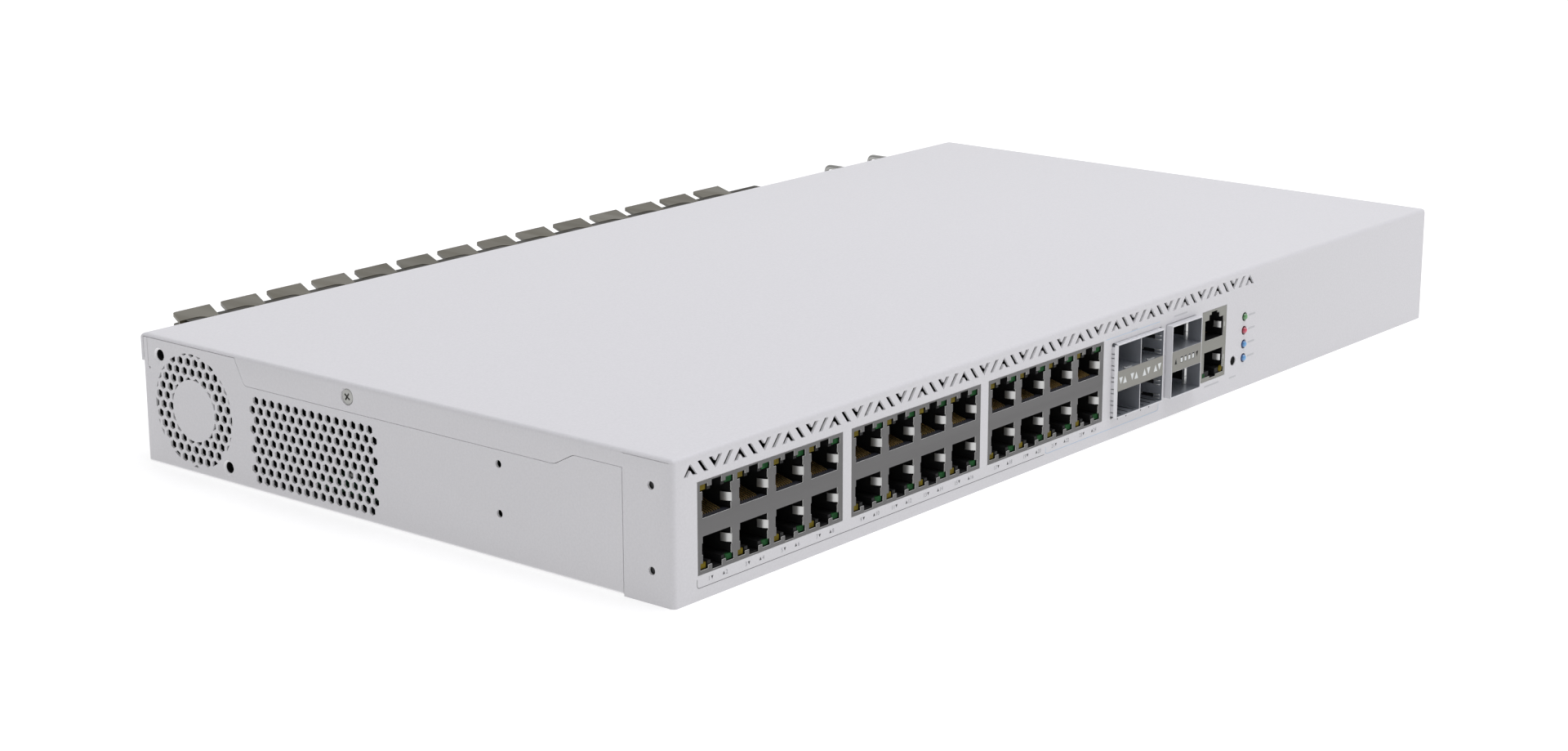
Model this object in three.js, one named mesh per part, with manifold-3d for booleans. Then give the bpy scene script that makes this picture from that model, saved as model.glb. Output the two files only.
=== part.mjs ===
// A 1U rack-mount network switch: a folded steel case, 24 copper network ports, four small and two
// large pluggable ports, a management and a console port, twin power inlets with wire cord retainers,
// and a finned heat sink that heat pipes feed from inside.
// Millimetres, +Z up. The front panel faces -Y, and the origin is the centre of the tray's underside.

import * as THREE from 'three';
import { mergeVertices } from 'three/addons/utils/BufferGeometryUtils.js';
import Module from 'manifold-3d';

// ---- Driving dimensions ----

const CASE_WIDTH = 443;
const CASE_DEPTH = 230.2;
const SHEET = 1; // thickness of the folded steel
const GAP = 0.3; // clearance between neighbouring pieces
const COVER_TOP = 43.3;
const COVER_BOTTOM = -0.4; // the front panel hangs a little below the tray
const SIDE = CASE_WIDTH / 2;
const FRONT = -CASE_DEPTH / 2;
const REAR = CASE_DEPTH / 2;

// The cover's side flange: a deep strip at the front corner, then a stepped lower edge.
const CORNER_DEPTH = 19;
const FLANGE = { stepZ: 37.9, stepY: -77, lowY: -69.5, lowZ: 33.9, endY: 65.5, topY: 70.3 };
const REAR_FLANGE_BOTTOM = 34.1;
const EAR_HOLES = { frontY: -106.8, frontZ: [9.5, 34.6], midY: -46.9, midZ: [14.3, 29.5], radius: 1.25 };
const COVER_SCREW = { y: 17.6, z: 38.6, hole: 1.9, sinkRadius: 2.8, sinkDepth: 0.6 };

// Zigzag ventilation slots along the top of the front panel.
const SLOT = { bottom: 37.1, top: 40.85, lean: 2.96, width: 1.75, gap: 3.045, firstX: -214.14, repeats: 14 };

// Side ventilation: a field of hexagonal holes and a ring of them over the fan.
const VENT = { y0: 5.5, z0: 2.4, pitch: 8.6, rows: 4, columns: 7, radius: 3.6 };
const FAN = { y: 91.25, z: 21.2, size: 39.6, depth: 20, bore: 18.8, hub: 8.7, screw: 16, ringRadius: 14.6 };

// Copper port blocks, each two rows of four ports.
const BLOCK = { count: 3, pitch: 70, x0: -211.3, width: 65.7, z0: 7.1, z1: 34.6, depth: 30 };
const PORT = { pitch: 16.25, firstX: 8.35, columns: 4, shell: 0.3, cavity: 14 };

const SFP = {
  x0: 0.5,
  x1: 29.05,
  z0: 7.1,
  z1: 32.45,
  proud: 1.8,
  depth: 48,
  columns: 2,
  cavityHeight: 8.9,
  roomX: 1,
  roomZ: 0.4,
};
const QSFP = {
  x0: 33.3,
  x1: 52.35,
  z0: 7.1,
  z1: 32.6,
  proud: 2.65,
  depth: 60,
  columns: 1,
  cavityHeight: 8.8,
  roomX: 0.3,
  roomZ: 0.3,
};
const CAGE_WALL = 0.3;
const LAMP_MARGIN = 0.7; // solid cage beside the light pipe

const STACK = { x0: 56.9, x1: 73, z0: 7.1, z1: 32.5, depth: 24 }; // management over console
const LEDS = { x: 85.6, radius: 1.5, z: [25.8, 20.8, 15.75, 10.7], proud: 1.1 };
const RESET = { x: 78.6, z: 10.95, radius: 1.55, hole: 1.75, face: 0.1, length: 2.1 };

const BOARD = { x0: -216, x1: 106, y0: -112.3, y1: 40, z0: 5.2, z1: 6.8 };
const BOSS = { radius: 3.2, bore: 1.8, x: [-206, 94], y: [-79, 32] };

const CHIP = { x: -60, y: -45, size: 31, z0: 7.1, z1: 9.6 };
const COLD_PLATE = { size: 52, z0: 9.9, z1: 15.9 };
const PIPE = { radius: 3, z: 19.2, spread: 16, startY: -66, runY: 8.6, leftX: -172, rightX: 78 };

// The rear heat sink: a vertical spine with layers of horizontal fins, cut into skewed tabs.
const SINK = {
  x0: -195,
  x1: 106.5,
  spineFront: 11.9,
  spineRear: 15.6,
  tip: 26.5,
  top: 39.6,
  layers: 5,
  layerPitch: 8.4,
  fin: 1.2,
  tabs: 14,
  tabPitch: 20.6,
  tabWidth: 16.1,
  firstTipX: -188,
  skew: 0.54,
};

const INLET = { x: [165.5, 195.5], z: 21.3, bodyX: 10, bodyZ: 13.5, bezelX: 12, bezelZ: 15, bezel: 2, depth: 17 };
const RETAINER = { wire: 1, pivotY: 3.1, legZ: 16.3, reach: 25.6, pinEnd: 12.9 };

const SUPPLY = { y0: 16, y1: 94, halfWidth: 14.6, z0: 5.4, z1: 7 };

// ---- Materials ----

function makeMaterial(color, roughness, metalness) {
  return new THREE.MeshStandardMaterial({ color, roughness, metalness });
}

const powderCoat = makeMaterial(0xdcdbdf, 0.55, 0.1);
const jackMetal = makeMaterial(0x7a7876, 0.4, 0.8);
const paleJackMetal = makeMaterial(0xa5a398, 0.4, 0.8);
const cageMetal = makeMaterial(0xb9bbbd, 0.3, 0.9);
const blackPlastic = makeMaterial(0x17171a, 0.5, 0);
const sinkMetal = makeMaterial(0x807a69, 0.5, 0.6);
const copper = makeMaterial(0xb87348, 0.3, 1);
const aluminium = makeMaterial(0xc4c6c8, 0.35, 0.9);
const zincSteel = makeMaterial(0xa9aaa6, 0.35, 0.9);
const boardGreen = makeMaterial(0x1d4a33, 0.5, 0);
const chipBlack = makeMaterial(0x222326, 0.45, 0);
const lensWhite = makeMaterial(0xe9edf0, 0.25, 0);
const lensGreen = makeMaterial(0x2f8f3d, 0.2, 0);
const lensRed = makeMaterial(0xb01f2b, 0.2, 0);
const lensBlue = makeMaterial(0x2a66b8, 0.2, 0);
const windingTape = makeMaterial(0xd8b23a, 0.5, 0);
const insulatorFilm = makeMaterial(0xe6e1cf, 0.4, 0);
const leadBlack = makeMaterial(0x1b1b1d, 0.6, 0);
const leadRed = makeMaterial(0x8e1d1d, 0.6, 0);

// ---- Solids ----

const wasm = await Module();
wasm.setup();

// Outline axes and thickness axis of each plane that plates are drawn in.
const PLANES = {
  front: new THREE.Matrix4().makeBasis(
    new THREE.Vector3(1, 0, 0),
    new THREE.Vector3(0, 0, 1),
    new THREE.Vector3(0, -1, 0),
  ),
  side: new THREE.Matrix4().makeBasis(
    new THREE.Vector3(0, 1, 0),
    new THREE.Vector3(0, 0, 1),
    new THREE.Vector3(1, 0, 0),
  ),
  flat: new THREE.Matrix4(),
};

function toSolid(geometry) {
  geometry.deleteAttribute('normal');
  geometry.deleteAttribute('uv');
  const merged = mergeVertices(geometry, 1e-4);
  const vertProperties = new Float32Array(merged.attributes.position.array);
  const triVerts = new Uint32Array(merged.index.array);
  return new wasm.Manifold(new wasm.Mesh({ numProp: 3, vertProperties, triVerts }));
}

function box(x0, x1, y0, y1, z0, z1) {
  const geometry = new THREE.BoxGeometry(x1 - x0, y1 - y0, z1 - z0);
  geometry.translate((x0 + x1) / 2, (y0 + y1) / 2, (z0 + z1) / 2);
  return toSolid(geometry);
}

function toVectors(points) {
  return points.map(([u, v]) => new THREE.Vector2(u, v));
}

// A plate between two positions on the plane's thickness axis, with any through-holes.
function plate(plane, from, to, outline, holes = []) {
  const shape = new THREE.Shape(toVectors(outline));
  const geometry = new THREE.ExtrudeGeometry(shape, { depth: to - from, bevelEnabled: false });
  geometry.applyMatrix4(PLANES[plane]);
  if (plane === 'front') geometry.translate(0, to, 0);
  if (plane === 'side') geometry.translate(from, 0, 0);
  if (plane === 'flat') geometry.translate(0, 0, from);
  return cutFrom(toSolid(geometry), holes.map((hole) => plate(plane, from - 1, to + 1, hole)));
}

function rectangle(u0, u1, v0, v1) {
  return [[u0, v0], [u1, v0], [u1, v1], [u0, v1]];
}

function ring(u, v, radius, sides, turn = 0) {
  const points = [];
  for (let i = 0; i < sides; i += 1) {
    const angle = turn + (2 * Math.PI * i) / sides;
    points.push([u + radius * Math.cos(angle), v + radius * Math.sin(angle)]);
  }
  return points;
}

// A round rod whose axis runs along x, y or z.
function rod(axis, radius, from, to, first, second, sides = 14) {
  if (axis === 'x') return plate('side', from, to, ring(first, second, radius, sides));
  if (axis === 'y') return plate('front', from, to, ring(first, second, radius, sides));
  return plate('flat', from, to, ring(first, second, radius, sides));
}

function joined(pieces) {
  return pieces.reduce((whole, piece) => whole.add(piece));
}

function cutFrom(body, tools) {
  return tools.reduce((rest, tool) => rest.subtract(tool), body);
}

// A straight run with rounded corners through the points.
function bentPath(points, bend) {
  const path = new THREE.CurvePath();
  const stops = points.map((point) => new THREE.Vector3(...point));
  let start = stops[0];
  for (let i = 1; i < stops.length - 1; i += 1) {
    const before = stops[i].clone().lerp(stops[i - 1], bend / stops[i].distanceTo(stops[i - 1]));
    const after = stops[i].clone().lerp(stops[i + 1], bend / stops[i].distanceTo(stops[i + 1]));
    path.add(new THREE.LineCurve3(start, before));
    path.add(new THREE.QuadraticBezierCurve3(before, stops[i], after));
    start = after;
  }
  path.add(new THREE.LineCurve3(start, stops[stops.length - 1]));
  return path;
}

function tube(path, radius, steps, sides = 6) {
  const section = new THREE.Shape(toVectors(ring(0, 0, radius, sides)));
  return toSolid(new THREE.ExtrudeGeometry(section, { steps, extrudePath: path, bevelEnabled: false }));
}

const model = new THREE.Group();

function addPart(name, body, material) {
  const { vertProperties, triVerts } = body.getMesh();
  const indexed = new THREE.BufferGeometry();
  indexed.setAttribute('position', new THREE.BufferAttribute(vertProperties, 3));
  indexed.setIndex(new THREE.BufferAttribute(triVerts, 1));
  const geometry = indexed.toNonIndexed();
  geometry.computeVertexNormals();
  const mesh = new THREE.Mesh(geometry, material);
  mesh.name = name;
  model.add(mesh);
}

// ---- Case ----

const HANDS = [-1, 1];

// A sheet on one side of the case; inset is how far its outer face is inside the case's side.
function sideSheet(hand, outline, holes = [], inset = 0) {
  const outer = SIDE - inset;
  const from = hand < 0 ? -outer : outer - SHEET;
  return plate('side', from, from + SHEET, outline, holes);
}

function sideBox(hand, inner, outer, y0, y1, z0, z1) {
  return hand < 0 ? box(-outer, -inner, y0, y1, z0, z1) : box(inner, outer, y0, y1, z0, z1);
}

function slotOutlines() {
  const { bottom, top, lean, width, gap, firstX, repeats } = SLOT;
  const period = 4 * gap + 2 * width + 2 * lean;
  const inner = (width * (top - bottom)) / lean;
  const outlines = [];
  for (let i = 0; i <= repeats; i += 1) {
    const apex = firstX + i * period;
    outlines.push([
      [apex, top],
      [apex - lean, bottom],
      [apex - lean + width, bottom],
      [apex, top - inner],
      [apex + lean - width, bottom],
      [apex + lean, bottom],
    ]);
    if (i === repeats) break;
    const bar = apex + gap;
    outlines.push([[bar, top], [bar + lean, bottom], [bar + lean + width, bottom], [bar + width, top]]);
    const vee = bar + width + gap + lean;
    outlines.push([
      [vee, bottom],
      [vee + lean, top],
      [vee + lean - width, top],
      [vee, bottom + inner],
      [vee - lean + width, top],
      [vee - lean, top],
    ]);
    const stroke = vee + lean + gap;
    outlines.push([
      [stroke, top],
      [stroke - lean, bottom],
      [stroke - lean + width, bottom],
      [stroke + width, top],
    ]);
  }
  return outlines;
}

function panelWindows() {
  const windows = [];
  for (let i = 0; i < BLOCK.count; i += 1) {
    const x0 = BLOCK.x0 + i * BLOCK.pitch;
    windows.push(rectangle(x0 - GAP, x0 + BLOCK.width + GAP, BLOCK.z0 - GAP, BLOCK.z1 + GAP));
  }
  for (const { x0, x1, z0, z1, roomX, roomZ } of [SFP, QSFP]) {
    windows.push(rectangle(x0 - roomX, x1 + roomX, z0 - roomZ, z1 + roomZ));
  }
  windows.push(rectangle(STACK.x0 - GAP, STACK.x1 + GAP, STACK.z0 - GAP, STACK.z1 + GAP));
  windows.push(ring(RESET.x, RESET.z, RESET.hole, 16));
  for (const z of LEDS.z) {
    windows.push(ring(LEDS.x, z, LEDS.radius + GAP, 16));
  }
  return windows;
}

function makeTopCover() {
  const fascia = rectangle(-SIDE, SIDE, COVER_BOTTOM, COVER_TOP);
  const pieces = [plate('front', FRONT, FRONT + SHEET, fascia, [...slotOutlines(), ...panelWindows()])];
  pieces.push(box(-SIDE, SIDE, FRONT, REAR + SHEET, COVER_TOP - SHEET, COVER_TOP));
  const rearFlange = plate(
    'front',
    REAR,
    REAR + SHEET,
    [
      [-SIDE, COVER_TOP],
      [-SIDE, REAR_FLANGE_BOTTOM],
      [INLET.x[0] - INLET.bezelX - SHEET, REAR_FLANGE_BOTTOM],
      [INLET.x[0] - INLET.bezelX - SHEET, INLET.z + INLET.bezelZ + GAP],
      [INLET.x[1] + INLET.bezelX + SHEET, INLET.z + INLET.bezelZ + GAP],
      [INLET.x[1] + INLET.bezelX + SHEET, REAR_FLANGE_BOTTOM],
      [SIDE, REAR_FLANGE_BOTTOM],
      [SIDE, COVER_TOP],
    ],
    REAR_SCREWS.map(([x, z]) => ring(x, z, REAR_SCREW.hole, 12)),
  );
  pieces.push(rearFlange);
  const cornerRear = FRONT + CORNER_DEPTH;
  const flange = [
    [FRONT, COVER_BOTTOM],
    [cornerRear, COVER_BOTTOM],
    [cornerRear, FLANGE.stepZ],
    [FLANGE.stepY, FLANGE.stepZ],
    [FLANGE.lowY, FLANGE.lowZ],
    [FLANGE.endY, FLANGE.lowZ],
    [FLANGE.topY, COVER_TOP],
    [FRONT, COVER_TOP],
  ];
  const earHoles = EAR_HOLES.frontZ.map((z) => ring(EAR_HOLES.frontY, z, EAR_HOLES.radius, 12));
  const screwHole = ring(COVER_SCREW.y, COVER_SCREW.z, COVER_SCREW.hole, 16);
  for (const hand of HANDS) {
    pieces.push(sideSheet(hand, flange, [...earHoles, screwHole]));
  }
  const cuts = [];
  for (const hand of HANDS) {
    // The corner strip is folded from the front panel, so a slit parts it from the top.
    const slitTop = COVER_TOP - SHEET;
    cuts.push(sideBox(hand, SIDE - SHEET, SIDE + SHEET, FRONT + SHEET, cornerRear, slitTop - GAP, slitTop));
    const sinkFrom = hand < 0 ? -SIDE - SHEET : SIDE - COVER_SCREW.sinkDepth;
    const sinkTo = hand < 0 ? -SIDE + COVER_SCREW.sinkDepth : SIDE + SHEET;
    cuts.push(rod('x', COVER_SCREW.sinkRadius, sinkFrom, sinkTo, COVER_SCREW.y, COVER_SCREW.z));
  }
  return cutFrom(joined(pieces), cuts);
}

const REAR_SCREW = { hole: 1.8, shank: 1.4, head: 3, headHeight: 1.8 };
const REAR_SCREWS = [[-208, 38.6], [128, 38.6]];
const TRAY_TOP = COVER_TOP - SHEET - GAP;
const TRAY_REAR = REAR - GAP;

function ventHoles() {
  const holes = [];
  for (let row = 0; row < VENT.rows; row += 1) {
    const shift = row % 2 ? VENT.pitch / 2 : 0;
    const count = VENT.columns - (row % 2);
    for (let column = 0; column < count; column += 1) {
      const y = VENT.y0 + VENT.radius + shift + column * VENT.pitch;
      const z = VENT.z0 + VENT.radius + row * VENT.pitch * Math.sin(Math.PI / 3);
      holes.push(ring(y, z, VENT.radius, 6, Math.PI / 6));
    }
  }
  return holes;
}

function fanHoles() {
  const holes = [];
  const count = 12;
  for (let i = 0; i < count; i += 1) {
    const angle = (2 * Math.PI * i) / count;
    const y = FAN.y + FAN.ringRadius * Math.cos(angle);
    const z = FAN.z + FAN.ringRadius * Math.sin(angle);
    holes.push(ring(y, z, VENT.radius, 6, angle));
  }
  holes.push(ring(FAN.y + FAN.screw, FAN.z + FAN.screw, 1.8, 12));
  holes.push(ring(FAN.y - FAN.screw, FAN.z - FAN.screw, 1.8, 12));
  return holes;
}

function makeBaseTray() {
  const cornerRear = FRONT + CORNER_DEPTH + GAP;
  const frontY = FRONT + SHEET + GAP;
  const innerSide = SIDE - SHEET - GAP;
  const pieces = [box(-SIDE, SIDE, cornerRear, TRAY_REAR, 0, SHEET)];
  pieces.push(box(-innerSide, innerSide, frontY, cornerRear + SHEET, 0, SHEET));
  pieces.push(box(-innerSide, innerSide, frontY, frontY + SHEET, 0, BOARD.z0 - SHEET));
  const wall = [
    [cornerRear, 0],
    [TRAY_REAR, 0],
    [TRAY_REAR, TRAY_TOP],
    [FLANGE.topY + GAP, TRAY_TOP],
    [FLANGE.endY + GAP, FLANGE.lowZ - GAP],
    [FLANGE.lowY, FLANGE.lowZ - GAP],
    [FLANGE.stepY, FLANGE.stepZ - GAP],
    [cornerRear, FLANGE.stepZ - GAP],
  ];
  const earHoles = EAR_HOLES.midZ.map((z) => ring(EAR_HOLES.midY, z, EAR_HOLES.radius, 12));
  const tabBottom = FLANGE.lowZ - 1.8;
  const tab = rectangle(COVER_SCREW.y - 9, COVER_SCREW.y + 9, tabBottom, TRAY_TOP);
  const tabHole = ring(COVER_SCREW.y, COVER_SCREW.z, COVER_SCREW.hole, 16);
  for (const hand of HANDS) {
    const fanVent = hand < 0 ? fanHoles() : [];
    pieces.push(sideSheet(hand, wall, [...earHoles, ...ventHoles(), ...fanVent]));
    // Inside the cover's corner strip the wall steps inwards.
    pieces.push(sideBox(hand, innerSide - SHEET, innerSide, frontY, cornerRear + SHEET, 0, TRAY_TOP));
    pieces.push(sideBox(
      hand,
      innerSide - SHEET,
      SIDE,
      cornerRear,
      cornerRear + SHEET,
      0,
      FLANGE.stepZ - GAP,
    ));
    // A tab behind the cover's side flange takes its screw.
    pieces.push(sideSheet(hand, tab, [tabHole], SHEET + GAP));
    pieces.push(sideBox(
      hand,
      innerSide - SHEET,
      SIDE - SHEET / 2,
      COVER_SCREW.y - 9,
      COVER_SCREW.y + 9,
      tabBottom,
      FLANGE.lowZ - 0.6,
    ));
  }
  const rearHoles = REAR_SCREWS.map(([x, z]) => ring(x, z, REAR_SCREW.hole, 12));
  for (const x of INLET.x) {
    rearHoles.push(rectangle(
      x - INLET.bodyX - GAP,
      x + INLET.bodyX + GAP,
      INLET.z - INLET.bodyZ - GAP,
      INLET.z + INLET.bodyZ + GAP,
    ));
  }
  const pipeRoom = PIPE.radius + 1.5;
  rearHoles.push(rectangle(
    CHIP.x - PIPE.spread - pipeRoom,
    CHIP.x + PIPE.spread + pipeRoom,
    PIPE.z - pipeRoom,
    PIPE.z + pipeRoom,
  ));
  rearHoles.push(ring(GROUND_SCREW.x, GROUND_SCREW.z, GROUND_SCREW.shank + 0.4, 12));
  for (const [x, z] of SINK_BOLTS) {
    rearHoles.push(ring(x, z, SINK_BOLT.shank + 0.4, 12));
  }
  const rearWall = rectangle(-SIDE, SIDE, 0, TRAY_TOP);
  pieces.push(plate('front', TRAY_REAR - SHEET, TRAY_REAR, rearWall, rearHoles));
  const bores = [];
  for (const x of BOSS.x) {
    for (const y of BOSS.y) {
      pieces.push(rod('z', BOSS.radius, 0.5, BOARD.z0 - GAP, x, y, 12));
      bores.push(rod('z', BOSS.bore, SHEET, BOARD.z0, x, y, 10));
    }
  }
  for (const x of INLET.x) {
    for (const y of [SUPPLY.y0 + 4, SUPPLY.y1 - 4]) {
      pieces.push(rod('z', BOSS.radius, 0.5, SUPPLY.z0 - GAP, x, y, 10));
    }
  }
  return cutFrom(joined(pieces), bores);
}

function makeCoverScrew(hand) {
  const headFace = SIDE - 0.1;
  const seat = SIDE - COVER_SCREW.sinkDepth + 0.15;
  const tip = SIDE - 6;
  const pieces = [];
  for (const [radius, inner, outer] of [[2.5, seat, headFace], [1.5, tip, headFace]]) {
    const from = hand < 0 ? -outer : inner;
    const to = hand < 0 ? -inner : outer;
    pieces.push(rod('x', radius, from, to, COVER_SCREW.y, COVER_SCREW.z));
  }
  return joined(pieces);
}

function makeRearScrew(x, z) {
  const seat = REAR + SHEET + GAP;
  return joined([
    rod('y', REAR_SCREW.head, seat, seat + REAR_SCREW.headHeight, x, z),
    rod('y', REAR_SCREW.shank, REAR - 3.5, seat + REAR_SCREW.headHeight, x, z, 8),
  ]);
}

// ---- Copper ports ----

// Half-widths and heights of a port's opening, from its floor to its latch notch.
const OPENING = {
  half: 6.2,
  springNotch: 0.35,
  springLow: 25.5,
  springHigh: 28.9,
  floor: 23.5,
  shoulder: 31.4,
  lampHalf: 7.3,
  lampTop: 33.5,
  tabHalf: 3.8,
  tabBottom: 32.5,
  notchHalf: 2.2,
  notchTop: 34.2,
};
const ROW_MIDDLE = (BLOCK.z0 + BLOCK.z1) / 2;

function mirrorPoints(points, x, upright) {
  return points.map(([u, v]) => [x + u, upright ? v : 2 * ROW_MIDDLE - v]);
}

function openingOutline(x, upright) {
  const o = OPENING;
  const right = [
    [o.half, o.floor],
    [o.half, o.springLow],
    [o.half + o.springNotch, o.springLow],
    [o.half + o.springNotch, o.springHigh],
    [o.half, o.springHigh],
    [o.half, o.shoulder],
    [o.lampHalf, o.shoulder],
    [o.lampHalf, o.lampTop],
    [o.tabHalf, o.lampTop],
    [o.tabHalf, o.tabBottom],
    [o.notchHalf, o.tabBottom],
    [o.notchHalf, o.notchTop],
  ];
  const left = right.map(([u, v]) => [-u, v]).reverse();
  return mirrorPoints([...right, ...left], x, upright);
}

function cavityOutline(x, upright) {
  const { half, floor, shoulder } = OPENING;
  return mirrorPoints([[-half, floor], [half, floor], [half, shoulder], [-half, shoulder]], x, upright);
}

// The x and row of every port in a block whose left edge is given.
function portPlaces(blockX) {
  const places = [];
  for (let column = 0; column < PORT.columns; column += 1) {
    for (const upright of [true, false]) {
      places.push([blockX + PORT.firstX + column * PORT.pitch, upright]);
    }
  }
  return places;
}

function makeShield(x0, x1, z0, z1, depth, openings) {
  const wall = PORT.shell;
  const front = plate('front', FRONT, FRONT + wall, rectangle(x0, x1, z0, z1), openings);
  const sleeve = plate('front', FRONT, FRONT + depth, rectangle(x0, x1, z0, z1), [
    rectangle(x0 + wall, x1 - wall, z0 + wall, z1 - wall),
  ]);
  return front.add(sleeve);
}

function makeHousing(x0, x1, z0, z1, depth, cavities) {
  const inset = PORT.shell + GAP;
  const face = FRONT + inset;
  const outline = rectangle(x0 + inset, x1 - inset, z0 + inset, z1 - inset);
  const front = plate('front', face, FRONT + PORT.cavity, outline, cavities);
  return front.add(plate('front', FRONT + PORT.cavity, FRONT + depth, outline));
}

function addPortBlock(index) {
  const x0 = BLOCK.x0 + index * BLOCK.pitch;
  const x1 = x0 + BLOCK.width;
  const openings = portPlaces(x0).map(([x, upright]) => openingOutline(x, upright));
  const cavities = portPlaces(x0).map(([x, upright]) => cavityOutline(x, upright));
  const shield = makeShield(x0, x1, BLOCK.z0, BLOCK.z1, BLOCK.depth, openings);
  const housing = makeHousing(x0, x1, BLOCK.z0, BLOCK.z1, BLOCK.depth, cavities);
  addPart(`port_block_${index + 1}_shield`, shield, jackMetal);
  addPart(`port_block_${index + 1}_housing`, housing, blackPlastic);
}

function addStackedJack() {
  const x = (STACK.x0 + STACK.x1) / 2;
  const upper = [[6.2, 21.8], [6.2, 29.1], [3.5, 29.1], [3.5, 30.9], [2.1, 30.9], [2.1, 31.8]];
  const lower = [[2.1, 7.8], [2.1, 10.4], [6.2, 10.4], [6.2, 17.6]];
  const lamps = [[2.1, 7.8], [2.1, 8.5], [7.2, 8.5], [7.2, 10.4], [6.2, 10.4], [6.2, 17.6]];
  const mirrored = (half) => [
    ...half.map(([u, v]) => [x + u, v]),
    ...half.map(([u, v]) => [x - u, v]).reverse(),
  ];
  const { x0, x1, z0, z1, depth } = STACK;
  const shield = makeShield(x0, x1, z0, z1, depth, [upper, lamps].map(mirrored));
  const housing = makeHousing(x0, x1, z0, z1, depth, [upper, lower].map(mirrored));
  addPart('stacked_jack_shield', shield, paleJackMetal);
  addPart('stacked_jack_housing', housing, blackPlastic);
}

// ---- Pluggable-port cages ----

// A cage of two rows of module bays, with a hollow band between the rows for the light pipe.
function makeCage(cage, lampOutlines) {
  const face = FRONT - cage.proud;
  const back = FRONT + cage.depth;
  const { x0, x1, z0, z1, columns, cavityHeight } = cage;
  const bayWidth = (x1 - x0 - (columns + 1) * CAGE_WALL) / columns;
  const bays = [];
  for (let column = 0; column < columns; column += 1) {
    const left = x0 + CAGE_WALL + column * (bayWidth + CAGE_WALL);
    bays.push(rectangle(left, left + bayWidth, z0 + CAGE_WALL, z0 + CAGE_WALL + cavityHeight));
    bays.push(rectangle(left, left + bayWidth, z1 - CAGE_WALL - cavityHeight, z1 - CAGE_WALL));
  }
  const outline = rectangle(x0, x1, z0, z1);
  const lampRoom = rectangle(
    x0 + LAMP_MARGIN,
    x1 - LAMP_MARGIN,
    z0 + 2 * CAGE_WALL + cavityHeight,
    z1 - 2 * CAGE_WALL - cavityHeight,
  );
  const front = plate('front', face, face + CAGE_WALL, outline, [...bays, ...lampOutlines]);
  const body = plate('front', face + CAGE_WALL, back - SHEET, outline, [...bays, lampRoom]);
  const end = plate('front', back - SHEET, back, outline, [lampRoom]);
  return joined([front, body, end]);
}

function makeLightPipe(cage) {
  const face = FRONT - cage.proud;
  const inset = 2 * CAGE_WALL + cage.cavityHeight + GAP;
  return box(
    cage.x0 + LAMP_MARGIN + GAP,
    cage.x1 - LAMP_MARGIN - GAP,
    face + CAGE_WALL + GAP,
    FRONT + cage.depth + 2,
    cage.z0 + inset,
    cage.z1 - inset,
  );
}

function triangle(x, z, halfWidth, halfHeight, up) {
  const rise = up ? halfHeight : -halfHeight;
  return [
    [x - halfWidth, z - rise],
    [x + halfWidth, z - rise],
    [x, z + rise],
  ];
}

function addCages() {
  const middle = (SFP.z0 + SFP.z1) / 2;
  const pairX = [2.6, 9.6, 17.2, 24.1];
  const lamps = pairX.flatMap((x, i) => [
    triangle(x, middle, 1.15, 1.25, i > 1),
    triangle(x + 2.5, middle, 1.15, 1.25, i < 2),
  ]);
  addPart('small_module_cage', makeCage(SFP, lamps), cageMetal);
  addPart('small_module_light_pipe', makeLightPipe(SFP), lensWhite);
  const firstX = QSFP.x0 + 2.5;
  const largeLamps = [
    triangle(firstX, middle, 0.8, 1.1, true),
    triangle(firstX + 13.7, middle, 0.8, 1.1, false),
  ];
  for (let i = 0; i < 4; i += 1) {
    const x = firstX + 3.8 + i * 2.5;
    largeLamps.push(rectangle(x - 0.7, x + 0.7, middle - 1.1, middle + 1.1));
  }
  addPart('large_module_cage', makeCage(QSFP, largeLamps), cageMetal);
  addPart('large_module_light_pipe', makeLightPipe(QSFP), lensWhite);
}

// ---- Front panel lights and reset button ----

function makeStatusLed(z) {
  const dome = new THREE.SphereGeometry(LEDS.radius, 12, 6);
  dome.rotateX(Math.PI / 2);
  const centreY = FRONT - LEDS.proud + LEDS.radius;
  dome.translate(LEDS.x, centreY, z);
  return toSolid(dome).add(rod('y', LEDS.radius, centreY, FRONT + 6.3, LEDS.x, z, 12));
}

function addFrontControls() {
  addPart('status_led_green', makeStatusLed(LEDS.z[0]), lensGreen);
  addPart('status_led_red', makeStatusLed(LEDS.z[1]), lensRed);
  addPart('status_led_blue_upper', makeStatusLed(LEDS.z[2]), lensBlue);
  addPart('status_led_blue_lower', makeStatusLed(LEDS.z[3]), lensBlue);
  const holder = box(LEDS.x - 2.6, LEDS.x + 2.6, FRONT + 6.6, FRONT + 11, BLOCK.z0, LEDS.z[0] + 2.4);
  addPart('status_led_holder', holder, blackPlastic);
  const face = FRONT + RESET.face;
  addPart('reset_button', rod('y', RESET.radius, face, face + RESET.length, RESET.x, RESET.z), blackPlastic);
  const body = face + RESET.length + 0.7;
  addPart('reset_switch', box(RESET.x - 3, RESET.x + 3, body, body + 5, BLOCK.z0, RESET.z + 3), zincSteel);
}

// ---- Electronics and cooling ----

function makeMainBoard() {
  const holes = [];
  for (const x of BOSS.x) {
    for (const y of BOSS.y) {
      holes.push(ring(x, y, BOSS.bore + 0.2, 12));
    }
  }
  const { x0, x1, y0, y1, z0, z1 } = BOARD;
  return plate('flat', z0, z1, rectangle(x0, x1, y0, y1), holes);
}

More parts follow.
